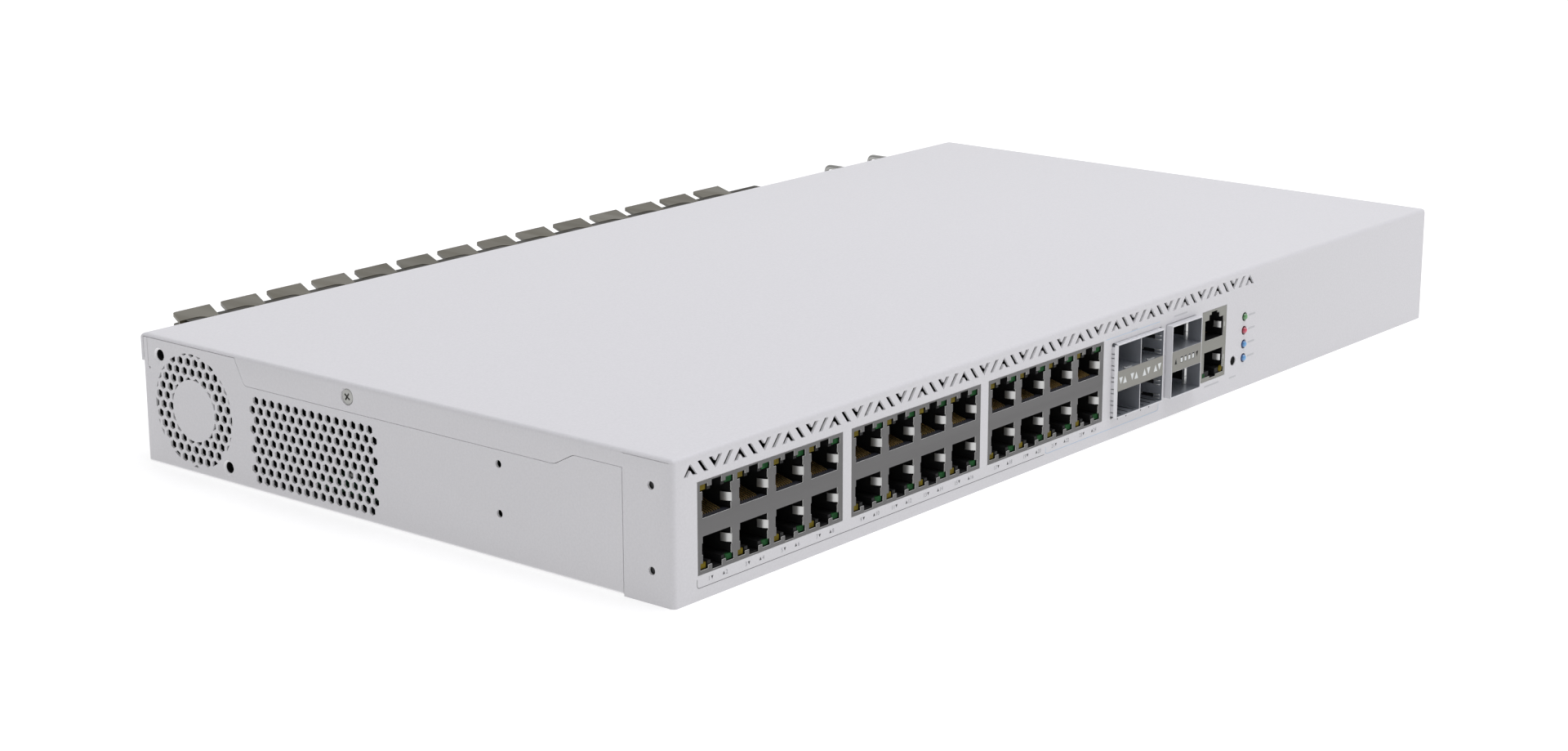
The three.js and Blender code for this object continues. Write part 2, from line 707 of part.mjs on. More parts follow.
function makeBoardScrew(x, y) {
  const seat = BOARD.z1 + GAP;
  return joined([
    rod('z', 2.8, seat, seat + 1.8, x, y, 12),
    rod('z', BOSS.bore - GAP, SHEET + GAP, seat + 1.8, x, y, 8),
  ]);
}

function square(x, y, size, z0, z1) {
  return box(x - size / 2, x + size / 2, y - size / 2, y + size / 2, z0, z1);
}

function makeProcessorSink() {
  const x = 60;
  const y = -10;
  const half = 18;
  const pieces = [square(x, y, 2 * half, 9.9, 12.4)];
  const finCount = 9;
  for (let i = 0; i < finCount; i += 1) {
    const left = x - half + (i * (2 * half - 1)) / (finCount - 1);
    pieces.push(box(left, left + 1, y - half, y + half, 12, 26));
  }
  return joined(pieces);
}

// Each pipe lies on the cold plate, leaves through the rear wall and feeds the heat sink's spine.
function makeHeatPipe(offset, endX) {
  const x = CHIP.x + offset;
  const y = REAR + PIPE.runY;
  const points = [[x, PIPE.startY, PIPE.z], [x, y, PIPE.z]];
  if (endX === null) {
    return tube(new THREE.LineCurve3(...points.map((p) => new THREE.Vector3(...p))), PIPE.radius, 1, 10);
  }
  return tube(bentPath([...points, [endX, y, PIPE.z]], 9), PIPE.radius, 28, 10);
}

const SINK_BOLT = { shank: 1.6, head: 3, boss: 4.5 };
const SINK_BOLTS = [[-186, 20], [92, 20]];

function makeRearHeatSink() {
  const s = SINK;
  const spine = box(s.x0, s.x1, REAR + s.spineFront, REAR + s.spineRear, s.top - 37, s.top);
  const pieces = [spine];
  const rootDrop = s.skew * (s.tip - s.spineFront);
  const outline = [];
  const root = REAR + s.spineRear - 1;
  const rootShift = s.skew * (s.tip - s.spineRear + 1);
  for (let i = 0; i < s.tabs; i += 1) {
    const left = s.firstTipX + i * s.tabPitch;
    const right = left + s.tabWidth;
    outline.push([left - rootShift, root], [left, REAR + s.tip]);
    outline.push([right, REAR + s.tip], [right - rootShift, root]);
  }
  const near = REAR + s.spineFront;
  const first = outline[0][0];
  const last = outline[outline.length - 1][0];
  outline.push([last, near], [first - rootDrop + rootShift, near]);
  for (let layer = 0; layer < s.layers; layer += 1) {
    const top = s.top - layer * s.layerPitch;
    pieces.push(plate('flat', top - s.fin, top, outline));
  }
  for (const [x, z] of SINK_BOLTS) {
    pieces.push(rod('y', SINK_BOLT.boss, REAR + GAP, REAR + s.spineFront + 1, x, z, 16));
  }
  const bores = SINK_BOLTS.map(([x, z]) => rod('y', SINK_BOLT.shank + 0.4, REAR, REAR + 8, x, z, 12));
  return cutFrom(joined(pieces), bores);
}

function makeSinkBolt(x, z) {
  const seat = TRAY_REAR - SHEET - GAP;
  return joined([
    rod('y', SINK_BOLT.head, seat - 2, seat, x, z, 16),
    rod('y', SINK_BOLT.shank, seat - 2, REAR + 7, x, z, 12),
  ]);
}

function makeFanFrame() {
  const x0 = -SIDE + SHEET + GAP;
  const x1 = x0 + FAN.depth;
  const half = FAN.size / 2;
  const corners = HANDS.flatMap((a) => HANDS.map((b) => [FAN.y + a * FAN.screw, FAN.z + b * FAN.screw]));
  const shell = plate(
    'side',
    x0,
    x1,
    rectangle(FAN.y - half, FAN.y + half, FAN.z - half, FAN.z + half),
    [ring(FAN.y, FAN.z, FAN.bore, 32), ...corners.map(([y, z]) => ring(y, z, 1.7, 10))],
  );
  const strut = 1.2;
  return joined([
    shell,
    rod('x', FAN.hub, x1 - strut, x1, FAN.y, FAN.z),
    box(x1 - strut, x1, FAN.y - half + 0.5, FAN.y + half - 0.5, FAN.z - 1, FAN.z + 1),
    box(x1 - strut, x1, FAN.y - 1, FAN.y + 1, FAN.z - half + 0.5, FAN.z + half - 0.5),
  ]);
}

function makeFanImpeller() {
  const x0 = -SIDE + SHEET + GAP;
  const hubFrom = x0 + 1;
  const hubTo = x0 + FAN.depth - 1.7;
  const pieces = [rod('x', FAN.hub, hubFrom, hubTo, FAN.y, FAN.z)];
  const blades = 7;
  const inner = FAN.hub - 1;
  const outer = FAN.bore - 0.9;
  const pitch = THREE.MathUtils.degToRad(52);
  for (let i = 0; i < blades; i += 1) {
    const blade = new THREE.BoxGeometry(1, 13, outer - inner);
    blade.rotateZ(pitch);
    blade.translate(0, 0, (inner + outer) / 2);
    blade.rotateX((2 * Math.PI * i) / blades);
    blade.translate((hubFrom + hubTo) / 2, FAN.y, FAN.z);
    pieces.push(toSolid(blade));
  }
  return joined(pieces);
}

// ---- Power ----

const GROUND_SCREW = { x: 128, z: 10, shank: 1.8, head: 3.6 };

function makePowerInlet(x) {
  const { z, bodyX, bodyZ, bezelX, bezelZ, bezel, depth } = INLET;
  const face = REAR + GAP;
  const bezelOutline = rectangle(x - bezelX, x + bezelX, z - bezelZ, z + bezelZ);
  const bodyOutline = rectangle(x - bodyX, x + bodyX, z - bodyZ, z + bodyZ);
  // The socket is a rectangle with two corners cut off.
  const socket = [
    [x - 4.6, z - 12.2],
    [x + 8.2, z - 12.2],
    [x + 8.2, z + 12.2],
    [x - 4.6, z + 12.2],
    [x - 8.2, z + 8.6],
    [x - 8.2, z - 8.6],
  ];
  const back = REAR - depth;
  const pieces = [
    plate('front', face, face + bezel, bezelOutline, [socket]),
    plate('front', back + 2, face + 0.5, bodyOutline, [socket]),
    plate('front', back, back + 2, bodyOutline),
  ];
  for (const [dx, dz] of [[2.5, 0], [-2, 7], [-2, -7]]) {
    pieces.push(box(x + dx - 1, x + dx + 1, back + 1, REAR - 2.6, z + dz - 2, z + dz + 2));
  }
  const pivot = REAR + RETAINER.pivotY;
  const lugZ = bezelZ - 2.6;
  const bores = [];
  for (const hand of HANDS) {
    const low = hand < 0 ? z - bezelZ : z + lugZ;
    const high = hand < 0 ? z - lugZ : z + bezelZ;
    pieces.push(box(x - 3, x + 3, face, pivot + 2.6, low, high));
    bores.push(rod('z', RETAINER.wire + 0.3, low - 1, high + 1, x, pivot, 12));
  }
  return cutFrom(joined(pieces), bores);
}

// A wire loop whose two inturned ends are its hinge pins.
function makeCordRetainer(x) {
  const near = REAR + RETAINER.pivotY;
  const far = REAR + RETAINER.reach - RETAINER.wire;
  const top = INLET.z + RETAINER.legZ;
  const bottom = INLET.z - RETAINER.legZ;
  const points = [
    [x, near, INLET.z + RETAINER.pinEnd],
    [x, near, top],
    [x, far, top],
    [x, far, bottom],
    [x, near, bottom],
    [x, near, INLET.z - RETAINER.pinEnd],
  ];
  return tube(bentPath(points, 2.2), RETAINER.wire, 46);
}

function makeTransformer(x) {
  const floor = SUPPLY.z1 + GAP;
  return joined([
    box(x - 11, x + 11, 38, 46, floor, floor + 20),
    box(x - 11, x + 11, 36, 48, floor + 2, floor + 18),
    box(x - 7.5, x + 7.5, 33.5, 50.5, floor + 4, floor + 16),
  ]);
}

function addPowerSupply(letter, x) {
  const { y0, y1, halfWidth, z0, z1 } = SUPPLY;
  const floor = z1 + GAP;
  addPart(`supply_${letter}_board`, box(x - halfWidth, x + halfWidth, y0, y1, z0, z1), boardGreen);
  addPart(`supply_${letter}_transformer`, makeTransformer(x), windingTape);
  addPart(`supply_${letter}_capacitor`, rod('y', 8, 55, 80, x + 2, floor + 8.2), chipBlack);
  addPart(`power_inlet_${letter}`, makePowerInlet(x), blackPlastic);
  addPart(`cord_retainer_${letter}`, makeCordRetainer(x), zincSteel);
  const mains = bentPath([[x, REAR - 17.3, 21], [x, 90, 21], [x, 90, floor]], 4);
  addPart(`mains_lead_${letter}`, tube(mains, 2, 10), leadBlack);
}

// ---- Leads ----

function addLeads() {
  const boardTop = BOARD.z1 + GAP;
  addPart('fan_plug', box(-184, -176, 30, 36, boardTop, boardTop + 8), insulatorFilm);
  const fanInner = -SIDE + SHEET + GAP + FAN.depth + GAP;
  const fanPoints = [
    [fanInner, FAN.y - 17, FAN.z - 15],
    [fanInner + 9, FAN.y - 17, FAN.z - 15],
    [fanInner + 9, 50, 10],
    [-180, 46, 12],
    [-180, 36.3, 12],
  ];
  addPart('fan_lead', tube(bentPath(fanPoints, 4), 1.2, 24), leadBlack);
  addPart('supply_plug', box(92, 100, -9, 17, boardTop, boardTop + 9), insulatorFilm);
  INLET.x.forEach((x, i) => {
    const letter = 'ab'[i];
    const y = 12 - i * 16;
    const points = [
      [x, SUPPLY.y0 - GAP, SUPPLY.z1 + 3],
      [x, y, SUPPLY.z1 + 3],
      [100.3, y, SUPPLY.z1 + 3],
    ];
    addPart(`supply_lead_${letter}`, tube(bentPath(points, 4), 1.8, 20), leadRed);
  });
}

// ---- Assembly ----

addPart('top_cover', makeTopCover(), powderCoat);
addPart('base_tray', makeBaseTray(), powderCoat);
addPart('cover_screw_left', makeCoverScrew(-1), zincSteel);
addPart('cover_screw_right', makeCoverScrew(1), zincSteel);
REAR_SCREWS.forEach(([x, z], i) => addPart(`rear_cover_screw_${i + 1}`, makeRearScrew(x, z), zincSteel));

for (let i = 0; i < BLOCK.count; i += 1) {
  addPortBlock(i);
}
addStackedJack();
addCages();
addFrontControls();

addPart('main_board', makeMainBoard(), boardGreen);
BOSS.x.forEach((x, i) => {
  BOSS.y.forEach((y, j) => {
    addPart(`board_screw_${i * BOSS.y.length + j + 1}`, makeBoardScrew(x, y), zincSteel);
  });
});
addPart('switch_chip', square(CHIP.x, CHIP.y, CHIP.size, CHIP.z0, CHIP.z1), chipBlack);
addPart('cold_plate', square(CHIP.x, CHIP.y, COLD_PLATE.size, COLD_PLATE.z0, COLD_PLATE.z1), copper);
addPart('processor_chip', square(60, -10, 23, CHIP.z0, CHIP.z1), chipBlack);
addPart('processor_heat_sink', makeProcessorSink(), aluminium);
addPart('heat_pipe_left', makeHeatPipe(-PIPE.spread, PIPE.leftX), copper);
addPart('heat_pipe_centre', makeHeatPipe(0, null), copper);
addPart('heat_pipe_right', makeHeatPipe(PIPE.spread, PIPE.rightX), copper);
addPart('rear_heat_sink', makeRearHeatSink(), sinkMetal);
SINK_BOLTS.forEach(([x, z], i) => addPart(`heat_sink_screw_${i + 1}`, makeSinkBolt(x, z), zincSteel));
addPart('fan_frame', makeFanFrame(), blackPlastic);
addPart('fan_impeller', makeFanImpeller(), blackPlastic);

addPowerSupply('a', INLET.x[0]);
addPowerSupply('b', INLET.x[1]);
addPart(
  'ground_screw',
  joined([
    rod('y', GROUND_SCREW.head, REAR + GAP, REAR + GAP + 2.2, GROUND_SCREW.x, GROUND_SCREW.z),
    rod('y', GROUND_SCREW.shank, REAR - 6, REAR + GAP + 2.2, GROUND_SCREW.x, GROUND_SCREW.z, 12),
  ]),
  zincSteel,
);
addLeads();

export default model;
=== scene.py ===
"""A 1U rack-mount network switch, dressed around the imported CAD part.

Shapes are written in millimetres and made in metres. X runs along the front panel, Y to the rear, Z up.
"""

import math

import bmesh
import bpy
from mathutils import Matrix, Vector


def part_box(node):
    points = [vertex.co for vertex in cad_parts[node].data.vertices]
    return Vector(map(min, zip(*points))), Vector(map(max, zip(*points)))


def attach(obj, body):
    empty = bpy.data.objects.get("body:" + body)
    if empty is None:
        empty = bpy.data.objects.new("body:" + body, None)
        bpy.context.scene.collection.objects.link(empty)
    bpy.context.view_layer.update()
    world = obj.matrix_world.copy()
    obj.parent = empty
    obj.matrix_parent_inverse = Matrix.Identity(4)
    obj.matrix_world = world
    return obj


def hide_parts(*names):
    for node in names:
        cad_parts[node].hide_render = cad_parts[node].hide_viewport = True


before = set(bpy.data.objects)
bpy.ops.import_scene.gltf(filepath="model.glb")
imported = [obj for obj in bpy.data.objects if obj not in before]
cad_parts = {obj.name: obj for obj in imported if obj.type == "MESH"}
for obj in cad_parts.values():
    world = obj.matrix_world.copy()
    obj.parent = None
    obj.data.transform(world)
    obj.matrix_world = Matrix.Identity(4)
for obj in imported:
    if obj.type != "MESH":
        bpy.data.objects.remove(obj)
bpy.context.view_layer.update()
MM = 0.001
CHASSIS = "chassis"
AXES = "xyz"


def span(node):
    """A CAD node's (low, high) along X, Y and Z, in millimetres."""
    low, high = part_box(node)
    return [(low[i] / MM, high[i] / MM) for i in range(3)]


def middle(pair):
    return (pair[0] + pair[1]) / 2


def centre(node, axes):
    """The middle of a CAD node along each of the axes, such as "xz"."""
    box = span(node)
    return [middle(box[AXES.index(axis)]) for axis in axes]


def new_object(name, data):
    obj = bpy.data.objects.new(name, data)
    bpy.context.scene.collection.objects.link(obj)
    return obj


def mesh_of(obj):
    """A copy of the object's mesh with its modifiers applied."""
    return bpy.data.meshes.new_from_object(obj.evaluated_get(bpy.context.evaluated_depsgraph_get()))


def dress(obj, material):
    obj.data.materials.clear()
    obj.data.materials.append(material)


# ---- Camera ----

FOCAL_LENGTH, SENSOR_WIDTH = 66.588, 36
CAMERA_PLACE = (-0.79487, -0.62710, 0.27294)
AZIMUTH, ELEVATION, ROLL = (math.radians(a) for a in (-50.533, 14.962, -0.087))


def add_camera():
    data = bpy.data.cameras.new("camera")
    data.lens = FOCAL_LENGTH
    data.sensor_width = SENSOR_WIDTH
    data.clip_start = 0.01
    camera = new_object("camera", data)
    pan = Matrix.Rotation(AZIMUTH, 4, "Z")
    tilt = Matrix.Rotation(math.pi / 2 - ELEVATION, 4, "X")
    camera.matrix_world = Matrix.Translation(CAMERA_PLACE) @ pan @ tilt @ Matrix.Rotation(ROLL, 4, "Z")
    bpy.context.scene.camera = camera


add_camera()


# ---- Materials ----

MIX_FACTOR, MIX_FROM, MIX_TO, MIX_RESULT = 0, 6, 7, 2
SOFT_NOISE = (0.35, 0.65)
SLOTS = {}


def feed(tree, socket, value):
    """Sets a socket to a value, or links it to another socket."""
    if isinstance(value, bpy.types.NodeSocket):
        tree.links.new(value, socket)
    else:
        socket.default_value = value


def add_node(tree, kind, **inputs):
    node = tree.nodes.new("ShaderNode" + kind)
    for name, value in inputs.items():
        feed(tree, node.inputs[name], value)
    return node


def math_node(tree, operation, *values):
    node = add_node(tree, "Math")
    node.operation = operation
    for socket, value in zip(node.inputs, values):
        feed(tree, socket, value)
    return node.outputs[0]


def vary(tree, source, scale, low, high, socket):
    """Blends a socket between two values, or two colours, with soft noise."""
    noise = add_node(tree, "TexNoise", Vector=source, Scale=scale, Detail=4)
    ramp = add_node(tree, "ValToRGB", Fac=noise.outputs["Fac"])
    for element, position, value in zip(ramp.color_ramp.elements, SOFT_NOISE, (low, high)):
        element.position = position
        element.color = (*(value if isinstance(value, tuple) else (value,) * 3), 1)
    feed(tree, socket, ramp.outputs["Color"])


def tint_where(material, mask, color):
    """Blends the material's base colour towards another where the mask is 1."""
    tree = material.node_tree
    base = tree.nodes["Principled BSDF"].inputs["Base Color"]
    mix = add_node(tree, "Mix")
    mix.data_type = "RGBA"
    feed(tree, mix.inputs[MIX_FACTOR], mask)
    feed(tree, mix.inputs[MIX_FROM], base.links[0].from_socket)
    feed(tree, mix.inputs[MIX_TO], (*color, 1))
    feed(tree, base, mix.outputs[MIX_RESULT])


def split(tree, output):
    """The X, Y and Z of a texture coordinate."""
    source = add_node(tree, "TexCoord").outputs[output]
    return add_node(tree, "SeparateXYZ", Vector=source).outputs


def brighten_cut_edges(material, color, matte_to=None):
    """Paints light or shade, in the given colour, onto the faces that don't face the front, such as a front
    sheet's cut edges, and makes them matte if they stop at a given y.
    """
    tree = material.node_tree
    facing = math_node(tree, "ABSOLUTE", split(tree, "Normal")[1])
    mask = math_node(tree, "LESS_THAN", facing, 0.5)
    if matte_to is not None:
        near = math_node(tree, "LESS_THAN", split(tree, "Object")[1], matte_to * MM)
        mask = math_node(tree, "MULTIPLY", mask, near)
        socket = tree.nodes["Principled BSDF"].inputs["Metallic"]
        metallic = socket.default_value
        feed(tree, socket, math_node(tree, "MULTIPLY_ADD", mask, -metallic, metallic))
    tint_where(material, mask, color)


def shade_with_depth(material, start, reach, color):
    """Paints shade: turns the base colour to another over a distance towards the rear, in millimetres."""
    tree = material.node_tree
    depth = math_node(tree, "MULTIPLY_ADD", split(tree, "Object")[1], 1 / (reach * MM), -start / reach)
    clamped = math_node(tree, "MINIMUM", math_node(tree, "MAXIMUM", depth, 0.0), 1.0)
    tint_where(material, clamped, color)


def surface(name, color, roughness, metallic=0.0, grain=1500, relief=0.15, shade=0.06, slot=None,
            depth=2e-5, rough_spread=0.06, stretch=None, patch=25, coat=0.0, specular=0.5):
    """A material with its own grain, uneven gloss and slight colour variation."""
    material = bpy.data.materials.new(name)
    SLOTS[material.name] = slot
    material.use_nodes = True
    material.diffuse_color = (*color, 1)
    tree = material.node_tree
    sockets = tree.nodes["Principled BSDF"].inputs
    sockets["Metallic"].default_value = metallic
    sockets["Coat Weight"].default_value = coat
    sockets["Specular IOR Level"].default_value = specular
    source = add_node(tree, "TexCoord").outputs["Object"]
    if stretch:
        source = add_node(tree, "Mapping", Vector=source, Scale=stretch).outputs["Vector"]
    noise = add_node(tree, "TexNoise", Vector=source, Scale=grain, Detail=2)
    bump = add_node(tree, "Bump", Strength=relief, Distance=depth, Height=noise.outputs["Fac"])
    feed(tree, sockets["Normal"], bump.outputs["Normal"])
    darker = tuple(c * (1 - shade) for c in color)
    lighter = tuple(min(1, c * (1 + shade)) for c in color)
    vary(tree, source, patch, darker, lighter, sockets["Base Color"])
    vary(tree, source, patch * 3, roughness - rough_spread, roughness + rough_spread, sockets["Roughness"])
    return material


JACK_GRAIN = {"relief": 0.12, "shade": 0.05, "stretch": (0.04, 1, 1), "patch": 60}
LAMP_GRAIN = {"grain": 900, "relief": 0.4, "shade": 0.3, "patch": 700, "specular": 0.08}
LENS_GRAIN = {"roughness": 0.12, "grain": 900, "relief": 0.05, "coat": 1.0}
# Name, colour, roughness, metallic, grain, relief, shade; then the slot and whatever else it needs.
PAINT = surface("powder_coat", (0.66, 0.652, 0.674), 0.42, 0, 2200, 0.35, 0.022, slot="powder_coat",
    depth=3e-5, rough_spread=0.04, patch=1400)
JACK = surface("jack_plating", (0.142, 0.14, 0.14), 0.4, 0.8, **JACK_GRAIN)
PALE_JACK = surface("pale_jack_plating", (0.25, 0.248, 0.225), 0.4, 0.8, **JACK_GRAIN)
CAGE = surface("cage_plating", (0.62, 0.62, 0.64), 0.35, 0.7, 1400, 0.1, 0.04, stretch=(1, 0.05, 1),
    patch=60)
# Painted shade: the cage's walls that don't face the front are darkened.
brighten_cut_edges(CAGE, (0.48, 0.5, 0.54))
RIM = surface("rim_plating", (0.72, 0.72, 0.74), 0.4, 0.35, 1500, 0.1, 0.03, slot="cage_metal")
BAND = surface("band_paint", (0.26, 0.255, 0.23), 0.5, 0, 1800, 0.2, 0.05, slot="cage_metal",
    specular=0.3)
SPRING = surface("spring_plating", (0.7, 0.7, 0.69), 0.3, 0.75, 1600, 0.08, 0.04, slot="cage_metal")
# A copy of the spring plating that takes painted shade towards the rear.
PORT_SPRING_IN_PAINTED_SHADE = surface("port_spring_plating", (0.72, 0.72, 0.71), 0.35, 0.6, 1600, 0.08, 0.04,
    slot="cage_metal")
BLACK = surface("black_moulding", (0.01, 0.01, 0.0105), 0.5, 0, 1500, 0.3, 0.15, slot="black_plastic",
    specular=0.2)
RUBBER = surface("button_rubber", (0.006, 0.006, 0.0065), 0.75, 0, 1800, 0.4, 0.1, slot="black_plastic",
    specular=0.1)
FLOOR_PLASTIC = surface("grey_moulding", (0.03, 0.032, 0.042), 0.5, 0, 1500, 0.2, 0.1, specular=0.35)
GOLD = surface("gold_plating", (1.0, 0.7, 0.3), 0.4, 1.0, 2500, 0.08, 0.06)
SINK = surface("sink_plating", (0.095, 0.084, 0.054), 0.42, 0.55, 700, 0.2, 0.12, slot="sink_metal",
    stretch=(1, 0.08, 1), patch=40)
# Painted shade: a much darker copy of the sink's metal, for the base and bosses that lie in shade.
SINK_IN_PAINTED_SHADE = surface("sink_base", (0.02, 0.017, 0.01), 0.55, 0.4, 700, 0.2, 0.12, slot="sink_metal")
COPPER = surface("drawn_copper", (0.62, 0.25, 0.11), 0.3, 1.0, 1200, 0.1, 0.1, slot="copper",
    stretch=(0.05, 1, 1), patch=40)
ALUMINIUM = surface("milled_aluminium", (0.62, 0.63, 0.64), 0.36, 0.95, 1200, 0.15, 0.05)
ZINC = surface("zinc_plating", (0.38, 0.38, 0.365), 0.32, 0.9, 1800, 0.12, 0.08, slot="zinc_steel")
BOARD = surface("solder_mask", (0.012, 0.075, 0.035), 0.38, 0, 600, 0.25, 0.2, patch=120)
CHIP = surface("chip_epoxy", (0.016, 0.016, 0.018), 0.5, 0, 2500, 0.35, 0.15)
TAPE = surface("winding_tape", (0.68, 0.43, 0.05), 0.4, 0, 500, 0.25, 0.08, stretch=(1, 1, 4))
NYLON = surface("nylon", (0.72, 0.69, 0.58), 0.42, 0, 1200, 0.2, 0.04)
LEAD_BLACK = surface("black_insulation", (0.014, 0.014, 0.015), 0.5, 0, 1500, 0.3, 0.15)
LEAD_RED = surface("red_insulation", (0.3, 0.014, 0.012), 0.45, 0, 1500, 0.25, 0.1)
WINDOW = surface("light_pipe_window", (0.68, 0.7, 0.7), 0.25, 0, 1200, 0.05, 0.02, slot="lens_white")
AMBER = surface("amber_window", (0.14, 0.105, 0.007), 0.5, **LAMP_GRAIN)
GREEN_DIM = surface("green_window", (0.013, 0.08, 0.022), 0.5, **LAMP_GRAIN)
LENS = {tint: surface(f"{tint}_lens", color, slot=f"lens_{tint}", **LENS_GRAIN) for tint, color in (
    ("green", (0.14, 0.36, 0.14)), ("red", (0.62, 0.07, 0.12)), ("blue", (0.13, 0.38, 0.72)))}
INKS = {tone: surface(f"{tone}_ink", color, 0.5, relief=0.1) for tone, color in (
    ("grey", (0.3, 0.3, 0.32)), ("line", (0.12, 0.12, 0.13)), ("blue", (0.42, 0.55, 0.7)),
    ("dark", (0.06, 0.06, 0.065)), ("pale", (0.52, 0.52, 0.54)))}


# ---- Shapes ----

PLACES = {
    "front": lambda u, v, t: (u, t, v),
    "side": lambda u, v, t: (t, u, v),
    "flat": lambda u, v, t: (u, v, t),
}
ALONG = {"x": "side", "y": "front", "z": "flat"}


def ring(u, v, radius, sides, turn=0.0):
    angles = [turn + 2 * math.pi * i / sides for i in range(sides)]
    return [(u + radius * math.cos(a), v + radius * math.sin(a)) for a in angles]


def rectangle(u0, u1, v0, v1):
    return [(u0, v0), (u1, v0), (u1, v1), (u0, v1)]


def bend(before, corner, after, radius, steps):
    """Points round a corner, from the run before it to the run after it."""
    back, ahead = ((p - corner).normalized() * radius for p in (before, after))
    return [corner + back * (1 - k / steps) ** 2 + ahead * (k / steps) ** 2 for k in range(steps + 1)]


def oblong(u, v, half_u, half_v):
    return rectangle(u - half_u, u + half_u, v - half_v, v + half_v)


def rounded(outline, radius, steps=4, only=None):
    """The outline with its corners, or only those numbered, rounded off."""
    points = [Vector(p) for p in outline]
    result = []
    for i, corner in enumerate(points):
        keep = only is not None and i not in only
        after = points[(i + 1) % len(points)]
        result += [corner] if keep else bend(points[i - 1], corner, after, radius, steps)
    return [tuple(p) for p in result]


class Shape:
    """Closed solids, in millimetres, that become one object."""

    def __init__(self):
        self.verts = []
        self.faces = []

    def add(self, verts, faces):
        start = len(self.verts)
        self.verts.extend(verts)
        self.faces.extend([[start + i for i in face] for face in faces])
        return self

    def prism(self, plane, outline, a, b):
        place = PLACES[plane]
        n = len(outline)
        verts = [place(u, v, t) for t in (a, b) for u, v in outline]
        faces = [list(range(n))[::-1], list(range(n, 2 * n))]
        faces += [[i, (i + 1) % n, n + (i + 1) % n, n + i] for i in range(n)]
        return self.add(verts, faces)

    def box(self, x, y, z):
        return self.prism("flat", rectangle(*x, *y), *z)

    def rod(self, axis, radius, a, b, u, v, sides=24):
        return self.prism(ALONG[axis], ring(u, v, radius, sides), a, b)

    def turned(self, axis, profile, u, v, sides=24):
        """A solid of revolution; the profile is (radius, position) pairs whose ends lie on the axis."""
        place = PLACES[ALONG[axis]]
        verts = [place(u, v, profile[0][1]), place(u, v, profile[-1][1])]
        inner = profile[1:-1]
        for radius, t in inner:
            verts += [place(p, q, t) for p, q in ring(u, v, radius, sides)]
        faces = []
        last = 2 + (len(inner) - 1) * sides
        for i in range(sides):
            j = (i + 1) % sides
            faces.append([0, 2 + j, 2 + i])
            faces.append([1, last + i, last + j])
            for k in range(len(inner) - 1):
                low = 2 + k * sides
                faces.append([low + i, low + j, low + sides + j, low + sides + i])
        return self.add(verts, faces)

    def tube(self, points, radius, sides=12):
        """A round wire along the points, without twist."""
        path = [Vector(p) for p in points]
        tangents = []
        for i in range(len(path)):
            tangents.append((path[min(i + 1, len(path) - 1)] - path[max(i - 1, 0)]).normalized())
        across = tangents[0].orthogonal().normalized()
        verts = []
        for point, tangent in zip(path, tangents):
            across = (across - tangent * across.dot(tangent)).normalized()
            other = tangent.cross(across)
            for i in range(sides):
                angle = 2 * math.pi * i / sides
                verts.append(point + across * radius * math.cos(angle) + other * radius * math.sin(angle))
        faces = [list(range(sides))[::-1], list(range(len(verts) - sides, len(verts)))]
        for k in range(len(path) - 1):
            for i in range(sides):
                j = (i + 1) % sides
                faces.append([k * sides + i, k * sides + j, (k + 1) * sides + j, (k + 1) * sides + i])
        return self.add([tuple(v) for v in verts], faces)

    def strip(self, plane, line, thickness, a, b):
        """A bent strip: an open line in the plane, given a thickness and extruded from a to b."""
        points = [Vector(p) for p in line]
        left, right = [], []
        for i, point in enumerate(points):
            ahead = points[min(i + 1, len(points) - 1)] - points[max(i - 1, 0)]
            normal = Vector((-ahead.y, ahead.x)).normalized() * thickness / 2
            left.append(tuple(point + normal))
            right.append(tuple(point - normal))
        return self.prism(plane, left + right[::-1], a, b)

    def as_object(self, name):
        mesh = bpy.data.meshes.new(name)
        mesh.from_pydata([Vector(v) * MM for v in self.verts], [], self.faces)
        edit = bmesh.new()
        edit.from_mesh(mesh)
        bmesh.ops.recalc_face_normals(edit, faces=edit.faces)
        edit.to_mesh(mesh)
        edit.free()
        return new_object(name, mesh)


def round_edges(obj, wanted, radius, segments=4):
    """Rounds the edges whose two ends satisfy wanted(a, b), given in millimetres."""
    edit = bmesh.new()
    edit.from_mesh(obj.data)
    chosen = [e for e in edit.edges if wanted(e.verts[0].co / MM, e.verts[1].co / MM)]
    bmesh.ops.bevel(edit, geom=chosen, offset=radius * MM, segments=segments, profile=0.5,
        affect="EDGES", clamp_overlap=True)
    edit.to_mesh(obj.data)
    edit.free()


def carve(obj, *shapes, operation="DIFFERENCE"):
    """Cuts each shape in turn out of the object."""
    for shape in shapes:
        tool = shape if isinstance(shape, bpy.types.Object) else shape.as_object("tool")
        modifier = obj.modifiers.new("cut", "BOOLEAN")
        modifier.operation = operation
        modifier.solver = "MANIFOLD"
        modifier.object = tool
        mesh = mesh_of(obj)
        obj.modifiers.clear()
        obj.data = mesh
        bpy.data.objects.remove(tool)
    return obj


def finish(piece, name, material, body=CHASSIS, replaces=(), slot=None, sharp=35.0):
    """Names a piece, gives it its finish and hangs it on its body."""
    obj = piece.as_object(name) if isinstance(piece, Shape) else piece
    obj.name = name
    obj.data.name = name
    dress(obj, material)
    obj.data.polygons.foreach_set("use_smooth", [True] * len(obj.data.polygons))
    obj.data.set_sharp_from_angle(angle=math.radians(sharp))
    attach(obj, body)
    if replaces:
        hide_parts(*replaces)
    slot = slot or SLOTS[material.name]
    return obj


# ---- Sheet-metal case ----

